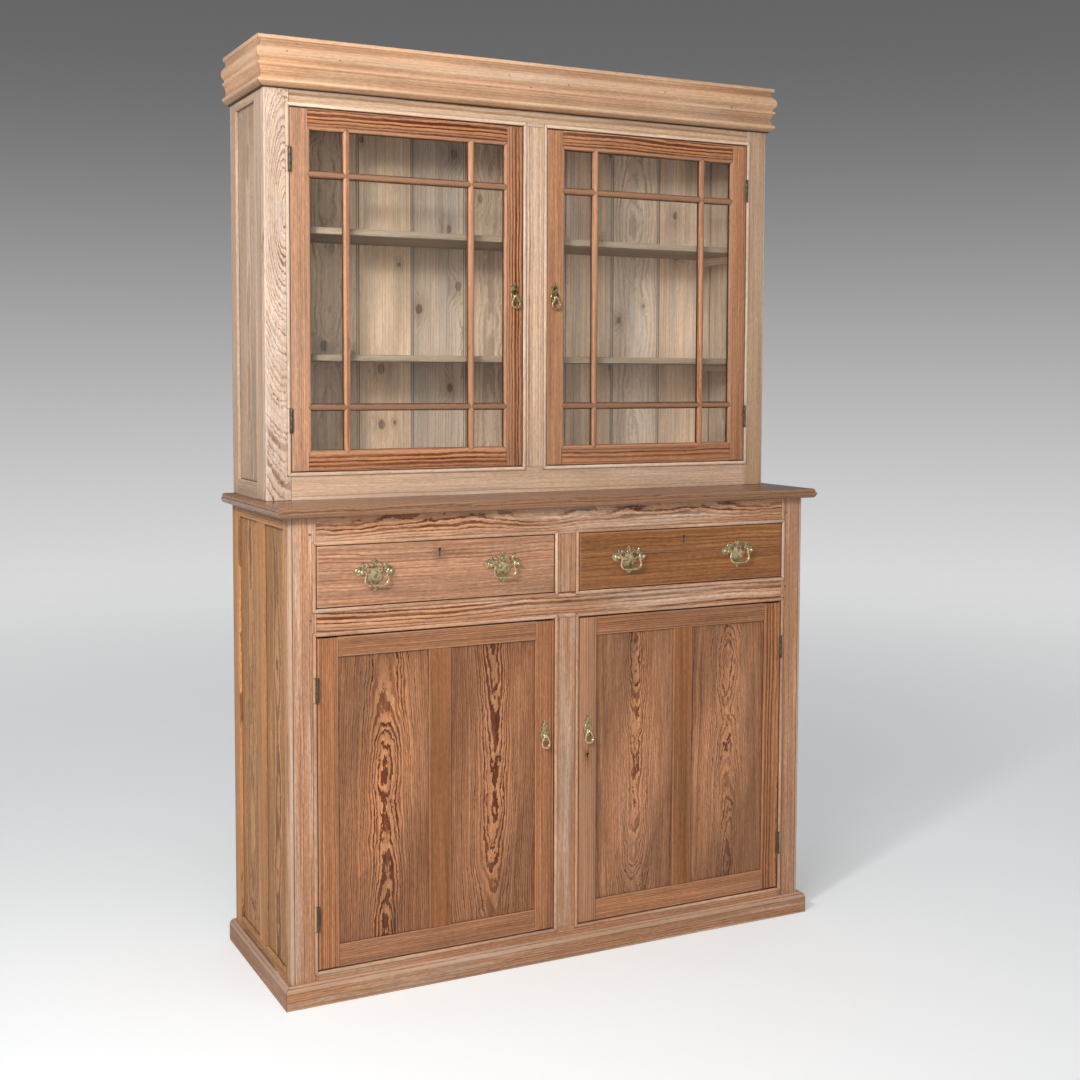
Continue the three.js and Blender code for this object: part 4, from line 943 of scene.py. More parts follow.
def cornice():
    """Three cornice lengths on a smooth outline with old nail holes, and the board that closes the top."""
    work = Work()
    shares = [(5, 0), (17, 0.095), (17, 0.15), (12, 0.18), (9.5, 0.22), (9.5, 0.30), (12.5, 0.39),
              (17, 0.43), (17, 0.47), (12.5, 0.49), (12.5, 0.53), (18, 0.58), (20, 0.66),
              (18, 0.74), (12, 0.80), (9.5, 0.84), (10.5, 0.90), (15, 0.93), (15, 1)]
    high = TOP - CORNICE_FOOT
    line = smooth([(reach * MM, CORNICE_FOOT + share * high) for reach, share in shares],
                  cusps=(1, 2, 7, 8, 9, 10, 17), steps=3)
    section = np.vstack([line, [(0, TOP), (0, CORNICE_FOOT)]])
    reach = section[:, 0]
    edge = np.where(reach > 14 * MM, 1.5 * MM, 6 * MM)
    # Foot mark low in the coves and zero along the bottom edge: painted shade with grime where the moulding
    # draws in
    foot = np.interp(reach, (9.5 * MM, 13.5 * MM), (3.9 * MM, 11 * MM))
    foot[section[:, 1] == CORNICE_FOOT] = 0
    moulded_lengths(work, HALF_UPPER, UPPER_FACE, (section, edge, foot), 411, kind="fine", contrast=0.9,
                    ring=0.006)
    for x, share in ((-0.585, 0.70), (-0.560, 0.88), (-0.470, 0.62), (-0.075, 0.68), (-0.020, 0.47),
                     (0.075, 0.60), (0.330, 0.66), (0.520, 0.47), (0.575, 0.70)):
        rise = CORNICE_FOOT + share * high
        out = np.interp(rise, line[:, 1], line[:, 0])
        peg(work, x, rise, UPPER_FACE - out, 430, 1.5 * MM, 0.0)
    plank(work, (-HALF_UPPER, UPPER_FACE, CASE_TOP), (HALF_UPPER, BACK, CASE_TOP + 0.016), "x",
          seed=415, light=-0.1)
    work.done("cornice", "wood", CORNICE_PINE)


def waist_board():
    """One wide board: rings round its front and ends at reach r and height z, filled at top and foot."""
    work = Work()
    most, step, thick = 26, 12, 21
    levels = smooth([(20, 0), (23, 2.5), (24.8, 6), (most, 9), (most, step), (23.2, step), (23.2, 15.2),
                     (22.4, 18.8), (20, thick)], cusps=(4, 5, 6), steps=3)
    levels[:, 0] = np.minimum(levels[:, 0], most)
    levels = np.vstack([[(12, 0), (18, 0)], levels, [(18, thick), (12, thick)]]) * MM
    rings = []
    for reach, rise in levels:
        x, y, z = HALF_BASE + reach, BASE_FACE - reach, BASE_TOP + rise
        rings.append([(-x, BACK, z), (-x, y, z), (0, y, z), (x, y, z), (x, BACK, z), (0, BACK, z)])
    points = np.array(rings).reshape(-1, 3)
    wood = Timber((-HALF_BASE, BASE_FACE - 0.026, BASE_TOP), (HALF_BASE, BACK, WAIST_TOP), "x",
                  "flame", 421, contrast=1.3, heart=(-0.225, 0.012), face=1)
    edge = np.concatenate([[INWARD, CLOSE], np.full(len(levels) - 4, 0.6 * MM), [CLOSE, INWARD]])
    reach, rise = levels.T
    # Foot mark zero on the underside and in the step under the nosing: painted shade with grime under the
    # board
    in_step = (np.abs(rise - step * MM) < 0.1 * MM) & (reach < 24 * MM)
    underside_shade_and_grime = np.where(in_step | (rise == 0), 0, PLAIN_EDGE)
    work.take(points, ring_faces(len(levels), 6), wood.marks(points, np.repeat(edge, 6), np.repeat(underside_shade_and_grime, 6)))
    work.done("waist_board", "wood", WAXED)


def row_of_boards(node, count, seed, along, across, soft=0.8 * MM, light=0.0, **sawing):
    """A node's box as a row of bare boards side by side, each a little lighter or darker."""
    work = Work()
    lo, hi = (np.array(corner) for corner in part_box(node))
    axis = "xyz".index(across)
    stops = np.linspace(lo[axis], hi[axis], count + 1)
    shades = 0.10 * np.sin(2.4 * np.arange(count))
    for index, (first, last) in enumerate(zip(stops, stops[1:])):
        a, b = lo.copy(), hi.copy()
        a[axis], b[axis] = first, last
        plank(work, a, b, along, soft, seed=seed + index, light=light + shades[index], **sawing)
    work.done(node, "wood", INSIDE)


def upper_back():
    """Nine upright boards, each with a bead and a groove beside its left joint."""
    work = Work()
    half = HALF_UPPER - SIDE_THICK
    front = BACK - BACK_THICK
    bead, groove, beside, deep, shy = 5 * MM, 5.7 * MM, 6.4 * MM, 2 * MM, 0.4 * MM
    stops = np.linspace(-half, half, 10)
    lights = (0.05, 0.10, 0.18, -0.06, 0.02, 0.14, 0.30, 0.38, 0.38)
    warms = (-0.10, -0.02, 0.06, -0.14, 0.04, -0.14, -0.04, -0.16, -0.05)
    radii = np.array([1.8, 2, 0, 0, 0.4, 0.4, 0, 0.3, 0.3, 0]) * MM
    for index, (x0, x1) in enumerate(zip(stops, stops[1:])):
        corners = [(x0 + shy, front), (x0 + bead, front), (x0 + bead, front + deep),
                   (x0 + beside, front + deep), (x0 + beside, front), (x1 - shy, front),
                   (x1, front + 1 * MM), (x1, BACK), (x0, BACK), (x0, front + deep)]
        kind = ("straight", "flame", "fine")[index % 3]
        wood = Timber((x0, front, WAIST_TOP), (x1, BACK, CASE_TOP), "z", kind, 440 + index,
                      light=lights[index], warm=warms[index], knots=1.0, ring=0.0065)
        points, edge = rounded(corners, radii)
        x, y = points.T
        # Foot mark low at the joints and zero in the groove: grime at the joints, painted shade in the groove
        gap = np.minimum(np.abs(x - x0 - groove), np.minimum(x - x0, x1 - x))
        foot = np.where(y > front + 3 * MM, PLAIN_EDGE, np.clip(4 * gap, 0, PLAIN_EDGE))
        foot[(y > front + 0.5 * MM) & (y < front + 2.5 * MM)] = 0
        carry(work, wood, (points, edge, foot), (WAIST_TOP, CASE_TOP), (AXES[2], AXES[0], AXES[1]))
    work.done("upper_back", "wood", INSIDE)


def inside_boards():
    """Floors, shelves, the base's back boards and the drawer frame."""
    row_of_boards("base_bottom", 3, 460, "x", "y", light=-0.08)
    row_of_boards("base_back", 9, 470, "z", "x", light=-0.1, knots=1.0)
    row_of_boards("upper_bottom", 1, 480, "x", "y", worn=True, knots=0.6)
    for node, seed in (("lower_shelf", 481), ("upper_shelf", 482)):
        row_of_boards(node, 1, seed, "x", "y", 1.5 * MM, light=-0.50, warm=0.10, kind="fine")
    work = Work()
    front, back, wall = BASE_FACE + FRAME_THICK, BACK - BACK_THICK, HALF_BASE - SIDE_THICK
    wide, thick, clear = 0.024, 0.020, 1 * MM
    foot, guide, end = DRAWER_FOOT - thick, DRAWER_FOOT + 0.018, back - wide
    lanes = ((-wall, -OUTER + wide, -wall, -OUTER + clear),
             (-HALF_POST - wide, HALF_POST + wide, -HALF_POST - clear, HALF_POST + clear),
             (OUTER - wide, wall, OUTER - clear, wall))
    for index, (x0, x1, g0, g1) in enumerate(lanes):
        seed = 490 + 4 * index
        for lo, hi, along, step in (
                ((x0, front, foot), (x1, end, DRAWER_FOOT), "y", 0),
                ((g0, front, DRAWER_FOOT), (g1, end, guide), "y", 1),
                ((x0, front, DRAWER_TOP), (x1, end, DRAWER_TOP + thick), "y", 2),
                ((g0, end, DRAWER_FOOT), (g1, back, DRAWER_TOP), "z", 3)):
            plank(work, lo, hi, along, seed=seed + step)
    for index, z in enumerate((foot, DRAWER_TOP)):
        plank(work, (-wall, end, z), (wall, back, z + thick), "x", seed=505 + index)
    work.done("drawer_frame", "wood", INSIDE)


def keyhole(x, z, slot):
    """A round hole over a slot: the arc stands on the slot's two sides."""
    radius, half = 3.25, 1.5
    start = math.asin(half / radius) - math.pi / 2
    angle = np.linspace(start, math.pi - start, 15)
    arc = radius * MM * np.column_stack([np.cos(angle), np.sin(angle)])
    return np.vstack([arc, [(-half * MM, -slot), (half * MM, -slot)]]) + (x, z)


def rectangle(x0, x1, z0, z1, inset=0.0):
    """The outline of a rectangle drawn in by an inset, with points about 50 mm apart."""
    x0, x1, z0, z1 = x0 + inset, x1 - inset, z0 + inset, z1 - inset
    across, up = (np.linspace(a, b, max(2, int((b - a) / 0.05) + 1)) for a, b in ((x0, x1), (z0, z1)))
    return np.vstack([
        np.column_stack([across[:-1], np.full(len(across) - 1, z0)]),
        np.column_stack([np.full(len(up) - 1, x1), up[:-1]]),
        np.column_stack([across[:0:-1], np.full(len(across) - 1, z1)]),
        np.column_stack([np.full(len(up) - 1, x0), up[:0:-1]]),
    ])


def drawers():
    """Drawer fronts with their keyholes, and the boxes behind them."""
    wall, deep, tall, clear = 0.010, 0.352, 0.112, 0.4 * MM
    floor_foot, floor_top = 0.008, 0.014
    key_down, slot = 0.0205, 0.0155
    y0 = BASE_FACE + DOOR_THICK
    y1 = y0 + deep
    foot = DRAWER_FOOT + clear
    top = foot + tall
    z0, z1 = DRAWER_FOOT + DRAWER_GAP, DRAWER_TOP - DRAWER_GAP
    for side, word, seed, light, warm in ((-1, "left", 520, 0.08, 0.0), (1, "right", 540, -0.44, 0.65)):
        x = side * MIDDLE
        x0, x1 = x - OPENING / 2 + DRAWER_GAP, x + OPENING / 2 - DRAWER_GAP
        work = Work()
        wood = Timber((x0, BASE_FACE, z0), (x1, y0, z1), "x", "fine", seed, light=light, warm=warm,
                      ring=0.0075, heart=(0.12, 0.06), flame=0.006)
        plate(work, wood, rectangle(x0, x1, z0, z1), [keyhole(x, DRAWER_TOP - key_down, slot)],
              BASE_FACE, y0, 0.8 * MM, rectangle(x0, x1, z0, z1, INWARD), wax_shade_clearance=PLAIN_EDGE)
        work.done(f"{word}_drawer_front", "wood", DRAWER_PINE)
        work = Work()
        for a, b, step in ((x0, x0 + wall, 1), (x1 - wall, x1, 2)):
            plank(work, (a, y0, foot), (b, y1, top), "y", seed=seed + step, worn=True)
        plank(work, (x0 + wall, y1 - wall, foot + floor_foot), (x1 - wall, y1, top), "x",
              seed=seed + 3)
        plank(work, (x0 + wall, y0, foot + floor_foot), (x1 - wall, y1 - wall, foot + floor_top), "x",
              seed=seed + 4)
        work.done(f"{word}_drawer_box", "wood", INSIDE)


def lower_doors():
    """Two door frames with a muntin, each over two flame-figured panels.

    Stiles and rails are rebated behind a lip. The stile with the keyhole is two plates, lip and rest.
    """
    stile, low_rail, high_rail, half_muntin = 0.044, 0.047, 0.042, 0.0245
    rebate, tongue, panel = 6 * MM, 5.5 * MM, 9 * MM
    y0, y1 = BASE_FACE, BASE_FACE + DOOR_THICK
    lip = y0 + 4 * MM
    z0, z1 = DOOR_FOOT + DOOR_GAP, DOOR_TOP - DOOR_GAP - WORN_TOP
    low, high = z0 + low_rail, DOOR_TOP - DOOR_GAP - high_rail
    half = OPENING / 2 - DOOR_GAP
    inner = half - stile
    soft = np.array([1.0, 0.5, 0, 0, 0, 0.8]) * MM
    hole = keyhole(LOWER_DROP[0], LOWER_DROP[1] - 0.054, 0.009)
    # How each stile is sawn, by its door and by its side of the door, and how each door's panels are
    plain = {"light": -0.14, "warm": 0.08}
    stiles = {(-1, -1): plain, (-1, 1): plain, (1, 1): {**plain, "kind": "bold", "heart": (0.03, 0.02)},
              (1, -1): {"light": -0.17, "warm": 0.14, "contrast": 1.3, "heart": (0.05, 0.012)}}
    panels = {-1: {"ring": 0.0044, "contrast": 1.2, "warm": 0.0, "light": 0.12},
              1: {"ring": 0.0034, "contrast": 0.9, "warm": -0.12, "light": 0.16}}
    for side, word, seed in ((-1, "left", 560), (1, "right", 600)):
        x = side * MIDDLE
        work = Work()
        for end in (-1, 1):
            a, b = sorted((x + end * half, x + end * inner))
            wood = Timber((a, y0, z0), (b, y1, z1), "z", seed=seed + 1 + end, **stiles[side, end])
            if (side, end) == (1, -1):
                # The lip plate keeps no clearance at its back, so its keyhole walls darken towards the back:
                # painted shade inside the hole
                plate(work, wood, rectangle(a, b, z0, z1), [hole], y0, lip, 0.4 * MM)
                plate(work, wood, rectangle(a, b - rebate, z0, z1), [hole], lip, y1, 0.2 * MM,
                      wax_shade_clearance=PLAIN_EDGE)
                continue
            section = [(half, y0), (half, y1), (inner + rebate, y1), (inner + rebate, lip),
                       (inner, lip), (inner, y0)]
            carry(work, wood, rounded(section, soft), (z0, z1), (AXES[2], end * AXES[0], AXES[1]),
                  (x, 0, 0))
        for far, near, way, light, step in ((z0, low, -1, -0.05, 3), (z1, high, 1, -0.18, 4)):
            wood = Timber((x - inner, y0, min(far, near)), (x + inner, y1, max(far, near)), "x",
                          seed=seed + step, contrast=0.9, light=light, warm=-0.1)
            shoulder = near + way * rebate
            section = [(far, y0), (far, y1), (shoulder, y1), (shoulder, lip), (near, lip), (near, y0)]
            carry(work, wood, rounded(section, soft), (x - inner, x + inner),
                  (AXES[0], AXES[2], AXES[1]))
        plank(work, (x - half_muntin, y0, low), (x + half_muntin, lip, high), "z", 0.8 * MM, True,
              seed=seed + 5, kind="fine", contrast=0.7, light=-0.38, warm=0.35)
        work.done(f"lower_{word}_door_frame", "wood", RED)
        work = Work()
        for a, b, step, aside, lean in ((x - inner - tongue, x, 6, -0.006, -0.06 * side),
                                        (x, x + inner + tongue, 7, 0.010, 0.05 * side)):
            plank(work, (a, lip, low - tongue), (b, lip + panel, high + tongue), "z", kind="flame",
                  seed=seed + step, heart=(aside, 0.036), flame=0.0080, lean=lean, sunk=tongue,
                  **panels[side])
        work.done(f"lower_{word}_door_panel", "wood", RED)


def glazed_doors():
    """Two glazed frames: flat stiles, rails and bars, and a moulded ring round each of nine panes."""
    edge_wide, bar_in, level_in = 0.045, 0.1275, 0.1385
    stick, bar, core, soft = 7 * MM, 8 * MM, 1 * MM, 0.3 * MM
    cove, out, deep = 6 * MM, 0.6 * MM, 5.2 * MM
    y0, y1 = UPPER_FACE, UPPER_FACE + DOOR_THICK
    z0, z1 = GLAZED_FOOT + DOOR_GAP, GLAZED_TOP - DOOR_GAP
    seat = y0 + 0.011
    glass, lap, most_lean = (seat + 1 * MM, seat + 2.6 * MM), 4.5 * MM, 0.6
    angle = np.linspace(0, np.pi / 2, 6)
    curve = np.column_stack([cove * (1 - np.sin(angle)), y0 + out + deep * (1 - np.cos(angle))])
    section = np.vstack([[(0, seat)], curve[::-1], [(cove, y0), (stick, y0), (stick, seat)]])
    edge = np.array([PLAIN_EDGE, 4 * MM, 4 * MM, 3 * MM, 2 * MM, 1 * MM, 0, 0, 0.5 * MM, PLAIN_EDGE])
    # Foot mark zero at the seat against the glass: a dark line along each pane, painted shade with grime
    foot = np.array([0, 0, 2.5, 5, 9, 14, 14, 14, 14, 8]) * MM
    half = OPENING / 2 - DOOR_GAP
    inner = half - edge_wide
    body = inner + stick
    bar_x = OPENING / 2 - bar_in
    low, high = z0 + edge_wide, z1 - edge_wide
    levels = (GLAZED_FOOT + level_in, GLAZED_TOP - level_in)
    rows = ((low, levels[0] - bar), (levels[0] + bar, levels[1] - bar), (levels[1] + bar, high))
    # How each stile is sawn, by its door and by its side of the door
    plain = {"light": 0.0, "warm": -0.15, "contrast": 0.6}
    sawn = {(-1, -1): {**plain, "light": 0.18, "warm": -0.45}, (1, -1): plain, (1, 1): plain,
            (-1, 1): {**plain, "kind": "bold", "contrast": 1.2}}
    for side, word, seed in ((-1, "left", 640), (1, "right", 740)):
        x = side * MIDDLE
        work = Work()
        stiles = []
        for end in (-1, 1):
            a, b = sorted((x + end * half, x + end * body))
            stiles.append(plank(work, (a, y0, z0), (b, y1, z1), "z", 1 * MM, True,
                                seed=seed + 1 + end, **sawn[side, end]))
        rails = [plank(work, (x - body, y0, a), (x + body, y1, b), "x", 1 * MM, True, kind="bold",
                       seed=seed + step, contrast=contrast)
                 for a, b, step, contrast in ((z0, low - stick, 3, 1.0), (high + stick, z1, 4, 1.5))]
        uprights = [plank(work, (x + at - core, y0, low - stick), (x + at + core, seat, high + stick),
                          "z", soft, True, kind="fine", seed=seed + 5 + step, light=0.06)
                    for step, at in enumerate((-bar_x, bar_x))]
        columns = ((x - inner, x - bar_x - bar), (x - bar_x + bar, x + bar_x - bar),
                   (x + bar_x + bar, x + inner))
        crossbars = []
        # Painted shade: the level bars get a far darker tone than the upright bars of the same wood
        for step, z in enumerate(levels):
            for a, b in columns:
                wood = plank(work, (a - stick, y0, z - core), (b + stick, seat, z + core), "x", soft,
                             True, kind="fine", seed=seed + 8 + step, light=-0.58, warm=0.05)
            crossbars.append(wood)
        wide, tall = (stiles[0], *uprights, stiles[1]), (rails[0], *crossbars, rails[1])
        for i, (a, b) in enumerate(columns):
            for j, (c, d) in enumerate(rows):
                woods = (tall[j], tall[j + 1], wide[i], wide[i + 1])
                for wood, (way, at, span, along) in zip(woods, four_sides(a, b, c, d)):
                    carry(work, wood, (section, edge, foot), span, (AXES[along], way, AXES[1]), at,
                          (-1, 1), hair=0.05 * MM)
        work.done(f"upper_{word}_door_frame", "wood", RED)
        panes = Work()
        tilt = np.random.default_rng(seed + 20)
        for a, b in columns:
            for c, d in rows:
                lean = tilt.uniform(-most_lean, most_lean, 2) * MM
                xs, zs = np.array([a - lap, b + lap]), np.array([c - lap, d + lap])
                corners = np.array([(xs[i], y, zs[j]) for y in glass
                                    for i, j in ((0, 0), (1, 0), (1, 1), (0, 1))])
                share = (corners[:, [0, 2]] - (xs.mean(), zs.mean())) / ((b - a), (d - c))
                corners[:, 1] += share @ lean
                panes.take(corners, ring_faces(2, 4), METAL.marks(corners, PLAIN_EDGE))
        panes.done(f"upper_{word}_door_glass", "panes", GLASS)


def mirrored(right):
    """A closed outline from its right half, which starts and ends on the middle line."""
    left = right[1:-1][::-1] * (-1, 1)
    return np.vstack([right, left])


def scaled(shares, wide, over, under):
    """Shares of a width, and of the height over or under zero, as places."""
    shares = np.asarray(shares, float)
    return np.column_stack([shares[:, 0] * wide, shares[:, 1] * np.where(shares[:, 1] > 0, over, under)])


def post(work, x, y, z, radius, head, reach):
    """A turned post with a collar, a neck and a round head, as pairs of a radius and a reach."""
    turn = np.linspace(math.asin(0.62), -math.pi / 2 + 0.12, 10)
    ball = [(head * math.cos(a), reach - head * math.sin(a)) for a in turn]
    profile = [(radius, 0.5 * MM), (radius * 1.7, 0.6 * MM), (radius * 1.75, 1.9 * MM),
               (radius * 1.5, 2.6 * MM), (radius * 0.95, 3.2 * MM), (radius * 0.8, reach * 0.5),
               (radius * 0.95, reach - head * 0.85), *ball]
    turned(work, profile, (x, y, z), (0, -1, 0))


def pulls():
    """Swan neck drawer pulls: a pierced plate with two posts, and a bail between them."""
    crest = [(0, 1), (0.08, 0.88), (0.18, 0.8), (0.2, 0.68), (0.12, 0.6), (0.13, 0.46),
             (0.2, 0.38), (0.34, 0.46), (0.45, 0.6), (0.57, 0.56), (0.64, 0.4), (0.72, 0.5),
             (0.78, 0.68), (0.97, 0.79), (0.89, 0.56), (0.87, 0.42)]
    lobe = [(0, 1), (0.7, 0.72), (0.98, 0.3), (1.33, 0), (0.98, -0.3), (0.7, -0.72), (0, -1),
            (-0.7, -0.72)]
    skirt = [(0.68, -0.1), (0.62, -0.24), (0.53, -0.37), (0.41, -0.48), (0.25, -0.6),
             (0.28, -0.69), (0.17, -0.85), (0, -1)]
    pierce = [(0.31, 0.22), (0.42, 0.36), (0.54, 0.34), (0.61, 0.15), (0.55, -0.02),
              (0.42, -0.05), (0.32, 0.06), (0.31, 0.22)]
    hang = [(1, 0), (0.92, 0), (0.855, 0), (0.785, 0.05), (0.725, -0.01), (0.715, -0.15),
            (0.755, -0.37), (0.79, -0.58), (0.74, -0.8), (0.56, -0.96), (0.28, -1)]
    reach, top, foot, around, drop = 0.032, 0.027, 0.042, 0.0105, 0.0275
    thick, rim = 1.5 * MM, 0.7 * MM
    right = np.vstack([scaled(crest, reach, top, foot),
                       scaled(lobe, around, around, around) + (reach, 0),
                       scaled(skirt, reach, top, foot)])
    edge = mirrored(smooth(right, cusps=(13, 19, len(right) - 3), steps=3))
    hole = smooth(scaled(pierce, reach, top, foot), steps=3)[:-1]
    bail_half = scaled(hang, reach, drop, drop)
    bail = smooth(np.vstack([bail_half, bail_half[::-1] * (-1, 1)]), steps=4)
    middle = np.abs(np.linspace(-1, 1, len(bail)))
    for side, word in ((-1, "left"), (1, "right")):
        for way_in, end in ((-1, "left"), (1, "right")):
            at = side * MIDDLE + way_in * (OPENING / 2 - PULL_INSET)
            node = f"{word}_drawer_{end}_pull"
            work = Work()
            holes = [hole + (at, PULL_Z), hole * (-1, 1) + (at, PULL_Z)]
            plate(work, METAL, edge + (at, PULL_Z), holes, BASE_FACE - thick, BASE_FACE, rim)
            # Dark skin round the plate: old wax with a painted shadow on the wood
            wax_and_shadow_skin(work, edge + (at, PULL_Z), holes, BASE_FACE)
            for way in (-1, 1):
                post(work, at + way * reach, BASE_FACE, PULL_Z, 2.75 * MM, 4.25 * MM, PULL_REACH)
            work.done(f"{node}_plate", "brass", BRASS)
            work = Work()
            path = np.column_stack([bail[:, 0] + at, np.full(len(bail), BASE_FACE - PULL_REACH),
                                    bail[:, 1] + PULL_Z])
            drawn(work, path, (2.0 + 0.8 * np.exp(-(middle / 0.4) ** 2)) * MM)
            work.done(f"{node}_bail", "brass", BRASS)


def drops():
    """Drop pulls of the doors: a small plate with a post, and a loop hanging from it."""
    shares = [(0, 1), (0.2, 0.92), (0.18, 0.8), (0.55, 0.7), (0.9, 0.63), (0.6, 0.5),
              (0.45, 0.42), (0.8, 0.28), (1, 0.12), (1, -0.1), (0.75, -0.45), (0.9, -0.8),
              (0.5, -1), (0, -0.9)]
    hang = [(0.05, 0), (0.24, 0), (0.36, -0.06), (0.5, -0.2), (0.73, -0.37), (0.9, -0.51),
            (0.96, -0.64), (0.91, -0.76), (0.735, -0.88), (0.406, -0.97)]
    thick, rim, wide, drop = 1.5 * MM, 0.6 * MM, 0.010, 0.026
    edge = mirrored(smooth(scaled(shares, 0.0105, 0.035, 0.014), cusps=(4, 11), steps=3))
    half = scaled(hang, wide, drop, drop)
    loop = smooth(np.vstack([half, half[::-1] * (-1, 1)]), steps=4)
    swell = np.exp(-((np.linspace(-1, 1, len(loop))) / 0.25) ** 2)
    for level, (x, z), face, finish in (("lower", LOWER_DROP, BASE_FACE, BRASS),
                                        ("upper", UPPER_DROP, UPPER_FACE, OLD_BRASS)):
        for side, word in ((-1, "left"), (1, "right")):
            at = side * x
            work = Work()
            plate(work, METAL, edge + (at, z), [], face - thick, face, rim)
            # Dark skin round the plate: old wax with a painted shadow on the wood
            wax_and_shadow_skin(work, edge + (at, z), [], face)
            post(work, at, face, z, 2.5 * MM, 3.75 * MM, DROP_REACH)
            work.done(f"{level}_{word}_door_pull_plate", "brass", finish)
            work = Work()
            path = np.column_stack([loop[:, 0] + at, np.full(len(loop), face - DROP_REACH),
                                    loop[:, 1] + z])
            drawn(work, path, (2.1 + 1.0 * swell) * MM)
            work.done(f"{level}_{word}_door_pull_loop", "brass", finish)


def hinges():
    """Butt hinges: a leaf on the post with two barrels, and a leaf on the door with one."""
    near, far, apart = 0.25 * MM, 1.1 * MM, 0.4 * MM
    leaf_front, leaf_back, wrap_back = 3.3 * MM, 17.4 * MM, 3.8 * MM
    barrel, mouth = 2.98 * MM, 2.6 * MM
    screws, screw_in = (0.012, 0.0255, 0.039), 10.5 * MM
    screw = [(2.4 * MM, 0), (2.4 * MM, 0.85 * MM), (1.9 * MM, 0.97 * MM)]
    share = HINGE_LONG / 3
    ways = (AXES[2], AXES[0], AXES[1])
    for level, face, foot, top in (("lower", BASE_FACE, DOOR_FOOT, DOOR_TOP),
                                   ("upper", UPPER_FACE, GLAZED_FOOT, GLAZED_TOP)):
        y = face - PIN_PROUD
        for side, word in ((-1, "left"), (1, "right")):
            for place, z in (("bottom", foot + HINGE_INSET), ("top", top - HINGE_INSET - HINGE_LONG)):
                for part, way, spans in (
                        ("frame", side, ((0, share), (2 * share, HINGE_LONG))),
                        ("door", -side, ((share + apart, 2 * share - apart),))):
                    work = Work()
                    x0, x1 = sorted((side * PIN_X + way * near, side * PIN_X + way * far))
                    leaf = [(x0, y + leaf_front), (x1, y + leaf_front), (x1, y + leaf_back),
                            (x0, y + leaf_back)]
                    carry(work, METAL, rounded(leaf, 0.15 * MM), (z, z + HINGE_LONG), ways,
                          hair=0.1 * MM)
                    for a, b in spans:
                        wrap = [(x0, y), (x1, y), (x1, y + wrap_back), (x0, y + wrap_back)]
                        carry(work, METAL, rounded(wrap, 0.1 * MM), (z + a, z + b), ways,
                              hair=0.1 * MM)
                        turned(work, [(mouth, a), (barrel, a + apart), (barrel, b - apart), (mouth, b)],
                               (side * PIN_X, y, z), (0, 0, 1), 24)
                    for rise in screws:
                        turned(work, screw, (side * PIN_X + way * far, y + screw_in, z + rise),
                               (-way, 0, 0), 12)
                    work.done(f"{level}_{word}_door_{place}_hinge_{part}_leaf", "iron", IRON)


def studio_floor():
    """A pale floor that fades out away from the cupboard, and that the camera sees a little brighter."""
    half, clear_from, clear_at = 40, 1.6, 7.0
    mesh = bpy.data.meshes.new("floor")
    mesh.from_pydata([(-half, -half, 0), (half, -half, 0), (half, half, 0), (-half, half, 0)], [],
                     [(0, 1, 2, 3)])
    floor = bpy.data.objects.new("floor", mesh)
    bpy.context.scene.collection.objects.link(floor)
    finish, tree, shader = fresh_finish("studio_floor")
    place = put(tree, "ShaderNodeTexCoord").outputs["Object"]
    soft = put(tree, "ShaderNodeTexNoise", {"Vector": place, "Scale": 0.6, "Detail": 1.0})
    tone = blended(tree, graded(tree, soft.outputs["Fac"], 0.3, 0.7), (0.80, 0.80, 0.80, 1),
                   (0.83, 0.83, 0.83, 1))
    seen = put(tree, "ShaderNodeLightPath").outputs["Is Camera Ray"]
    tree.links.new(blended(tree, seen, tone, (1, 1, 1, 1)), shader.inputs["Base Color"])
    shader.inputs["Roughness"].default_value = 0.9
    away = put(tree, "ShaderNodeVectorMath", {0: place}, operation="LENGTH").outputs["Value"]
    tree.links.new(graded(tree, away, clear_at, clear_from), shader.inputs["Alpha"])
    tree.links.new(blended(tree, seen, (0, 0, 0, 1), (0.15, 0.17, 0.18, 1)),
                   shader.inputs["Emission Color"])
    shader.inputs["Emission Strength"].default_value = 1.0
    mesh.materials.append(finish)


def studio_world():
    """A surround that lights evenly, and that the camera, gloss and glass see pale below and dim above."""
    world = bpy.data.worlds.new("studio")
    bpy.context.scene.world = world
    world.use_nodes = True
    tree = world.node_tree
    path = put(tree, "ShaderNodeLightPath").outputs
    seen = sum_of(tree, "MAXIMUM", path["Is Camera Ray"],
                  sum_of(tree, "MAXIMUM", path["Is Glossy Ray"], path["Is Transmission Ray"]))
    rise = put(tree, "ShaderNodeSeparateXYZ", {
        0: put(tree, "ShaderNodeTexCoord").outputs["Generated"]}).outputs["Z"]
    low = graded(tree, rise, 0.25, -0.30)
    backdrop = blended(tree, low, (0.13, 0.13, 0.13, 1), (0.86, 0.86, 0.86, 1))
    tree.links.new(blended(tree, seen, (0.32, 0.32, 0.32, 1), backdrop),
                   tree.nodes["Background"].inputs["Color"])
    tree.nodes["Background"].inputs["Strength"].default_value = 1.0


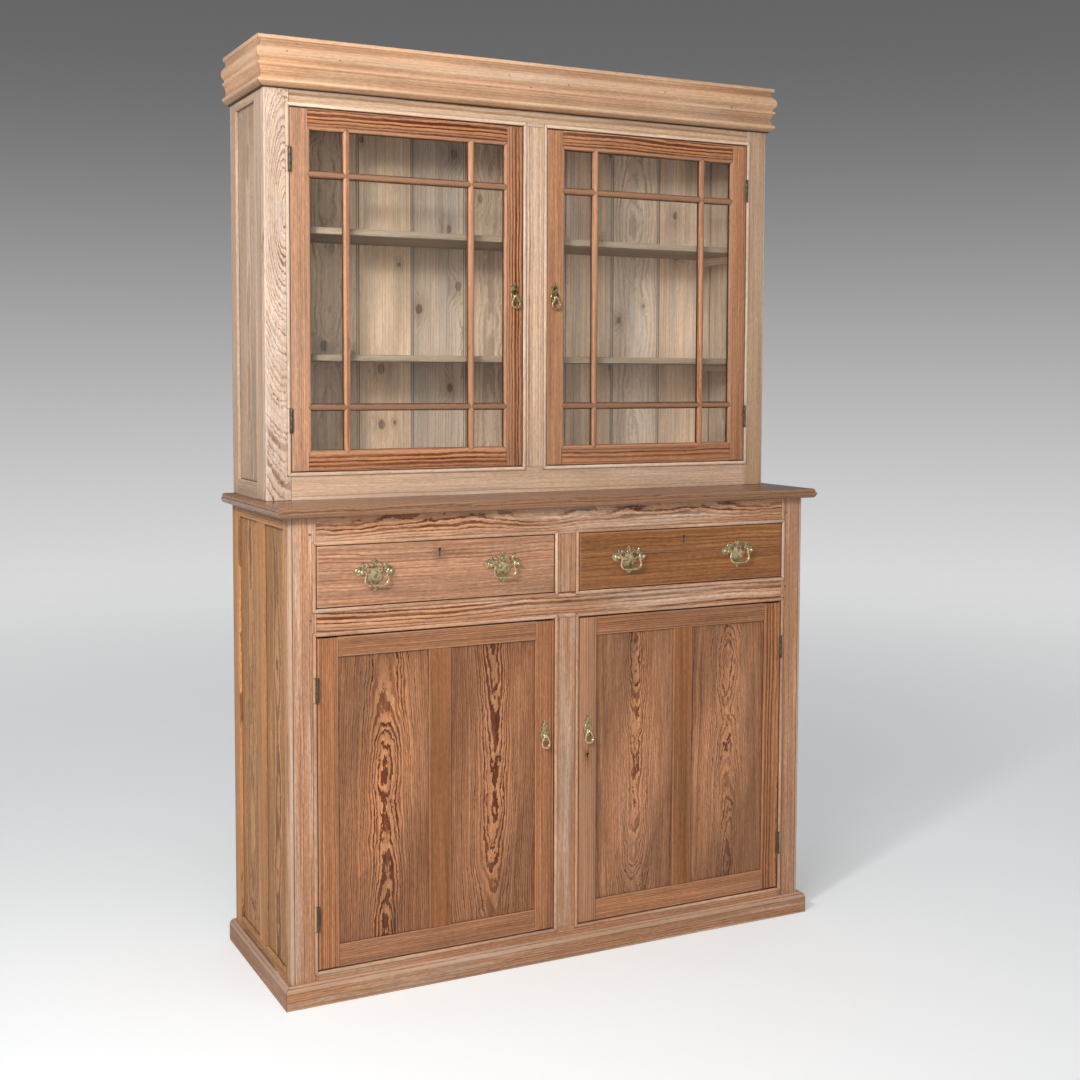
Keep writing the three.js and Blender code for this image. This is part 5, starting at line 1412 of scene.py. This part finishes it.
def studio_lamps():
    """Four soft lamps, each with its place, what it aims at, its size and its power."""
    for name, place, aim, size, power in (
            ("key_lamp", (-2.3, -2.3, 2.7), (-0.1, 0, 1.2), (1.5, 1.5), 40),
            ("side_lamp", (-1.85, -1.5, 2.0), (0.1, 0, 1.2), (0.25, 0.25), 24),
            ("front_lamp", (-1.4, -4.6, 2.0), (0.2, 0, 0.9), (1.8, 1.8), 18),
            ("top_lamp", (-0.3, -1.2, 4.2), (0, 0, 1.0), (2.0, 1.6), 14)):
        lamp = bpy.data.lights.new(name, "AREA")
        lamp.shape, (lamp.size, lamp.size_y), lamp.energy = "RECTANGLE", size, power
        item = bpy.data.objects.new(name, lamp)
        item.location = place
        item.rotation_euler = (Vector(aim) - Vector(place)).to_track_quat("-Z", "Y").to_euler()
        bpy.context.scene.collection.objects.link(item)


def photo_camera():
    """A camera that stands, points and zooms as the photo's did, its focal length and rows in pixels."""
    pixels, focal, level_row = 1080, 1483.3, 470
    place = (-1.5161, -3.0817, 1.2955)
    turn, down, roll = (math.radians(angle) for angle in (26.684, 3.581, 0.187))
    view = np.array([math.sin(turn) * math.cos(down), math.cos(turn) * math.cos(down),
                     -math.sin(down)])
    right = unit(np.cross(view, AXES[2]))
    above = np.cross(right, view)
    level = right * math.cos(roll) + above * math.sin(roll)
    upward = above * math.cos(roll) - right * math.sin(roll)
    lens = bpy.data.cameras.new("camera")
    lens.sensor_width = 36
    lens.lens, lens.shift_y = 36 * focal / pixels, (level_row - pixels / 2) / pixels
    camera = bpy.data.objects.new("camera", lens)
    turned_to = Matrix(np.column_stack([level, upward, -view]).tolist()).to_4x4()
    camera.matrix_world = Matrix.Translation(place) @ turned_to
    bpy.context.scene.collection.objects.link(camera)
    bpy.context.scene.camera = camera


base_face_frame()
upper_face_frame()
sides()
plinth()
cornice()
waist_board()
upper_back()
inside_boards()
drawers()
lower_doors()
glazed_doors()
pulls()
drops()
hinges()
studio_floor()
studio_world()
studio_lamps()
photo_camera()
bpy.context.scene.view_settings.view_transform = "Standard"
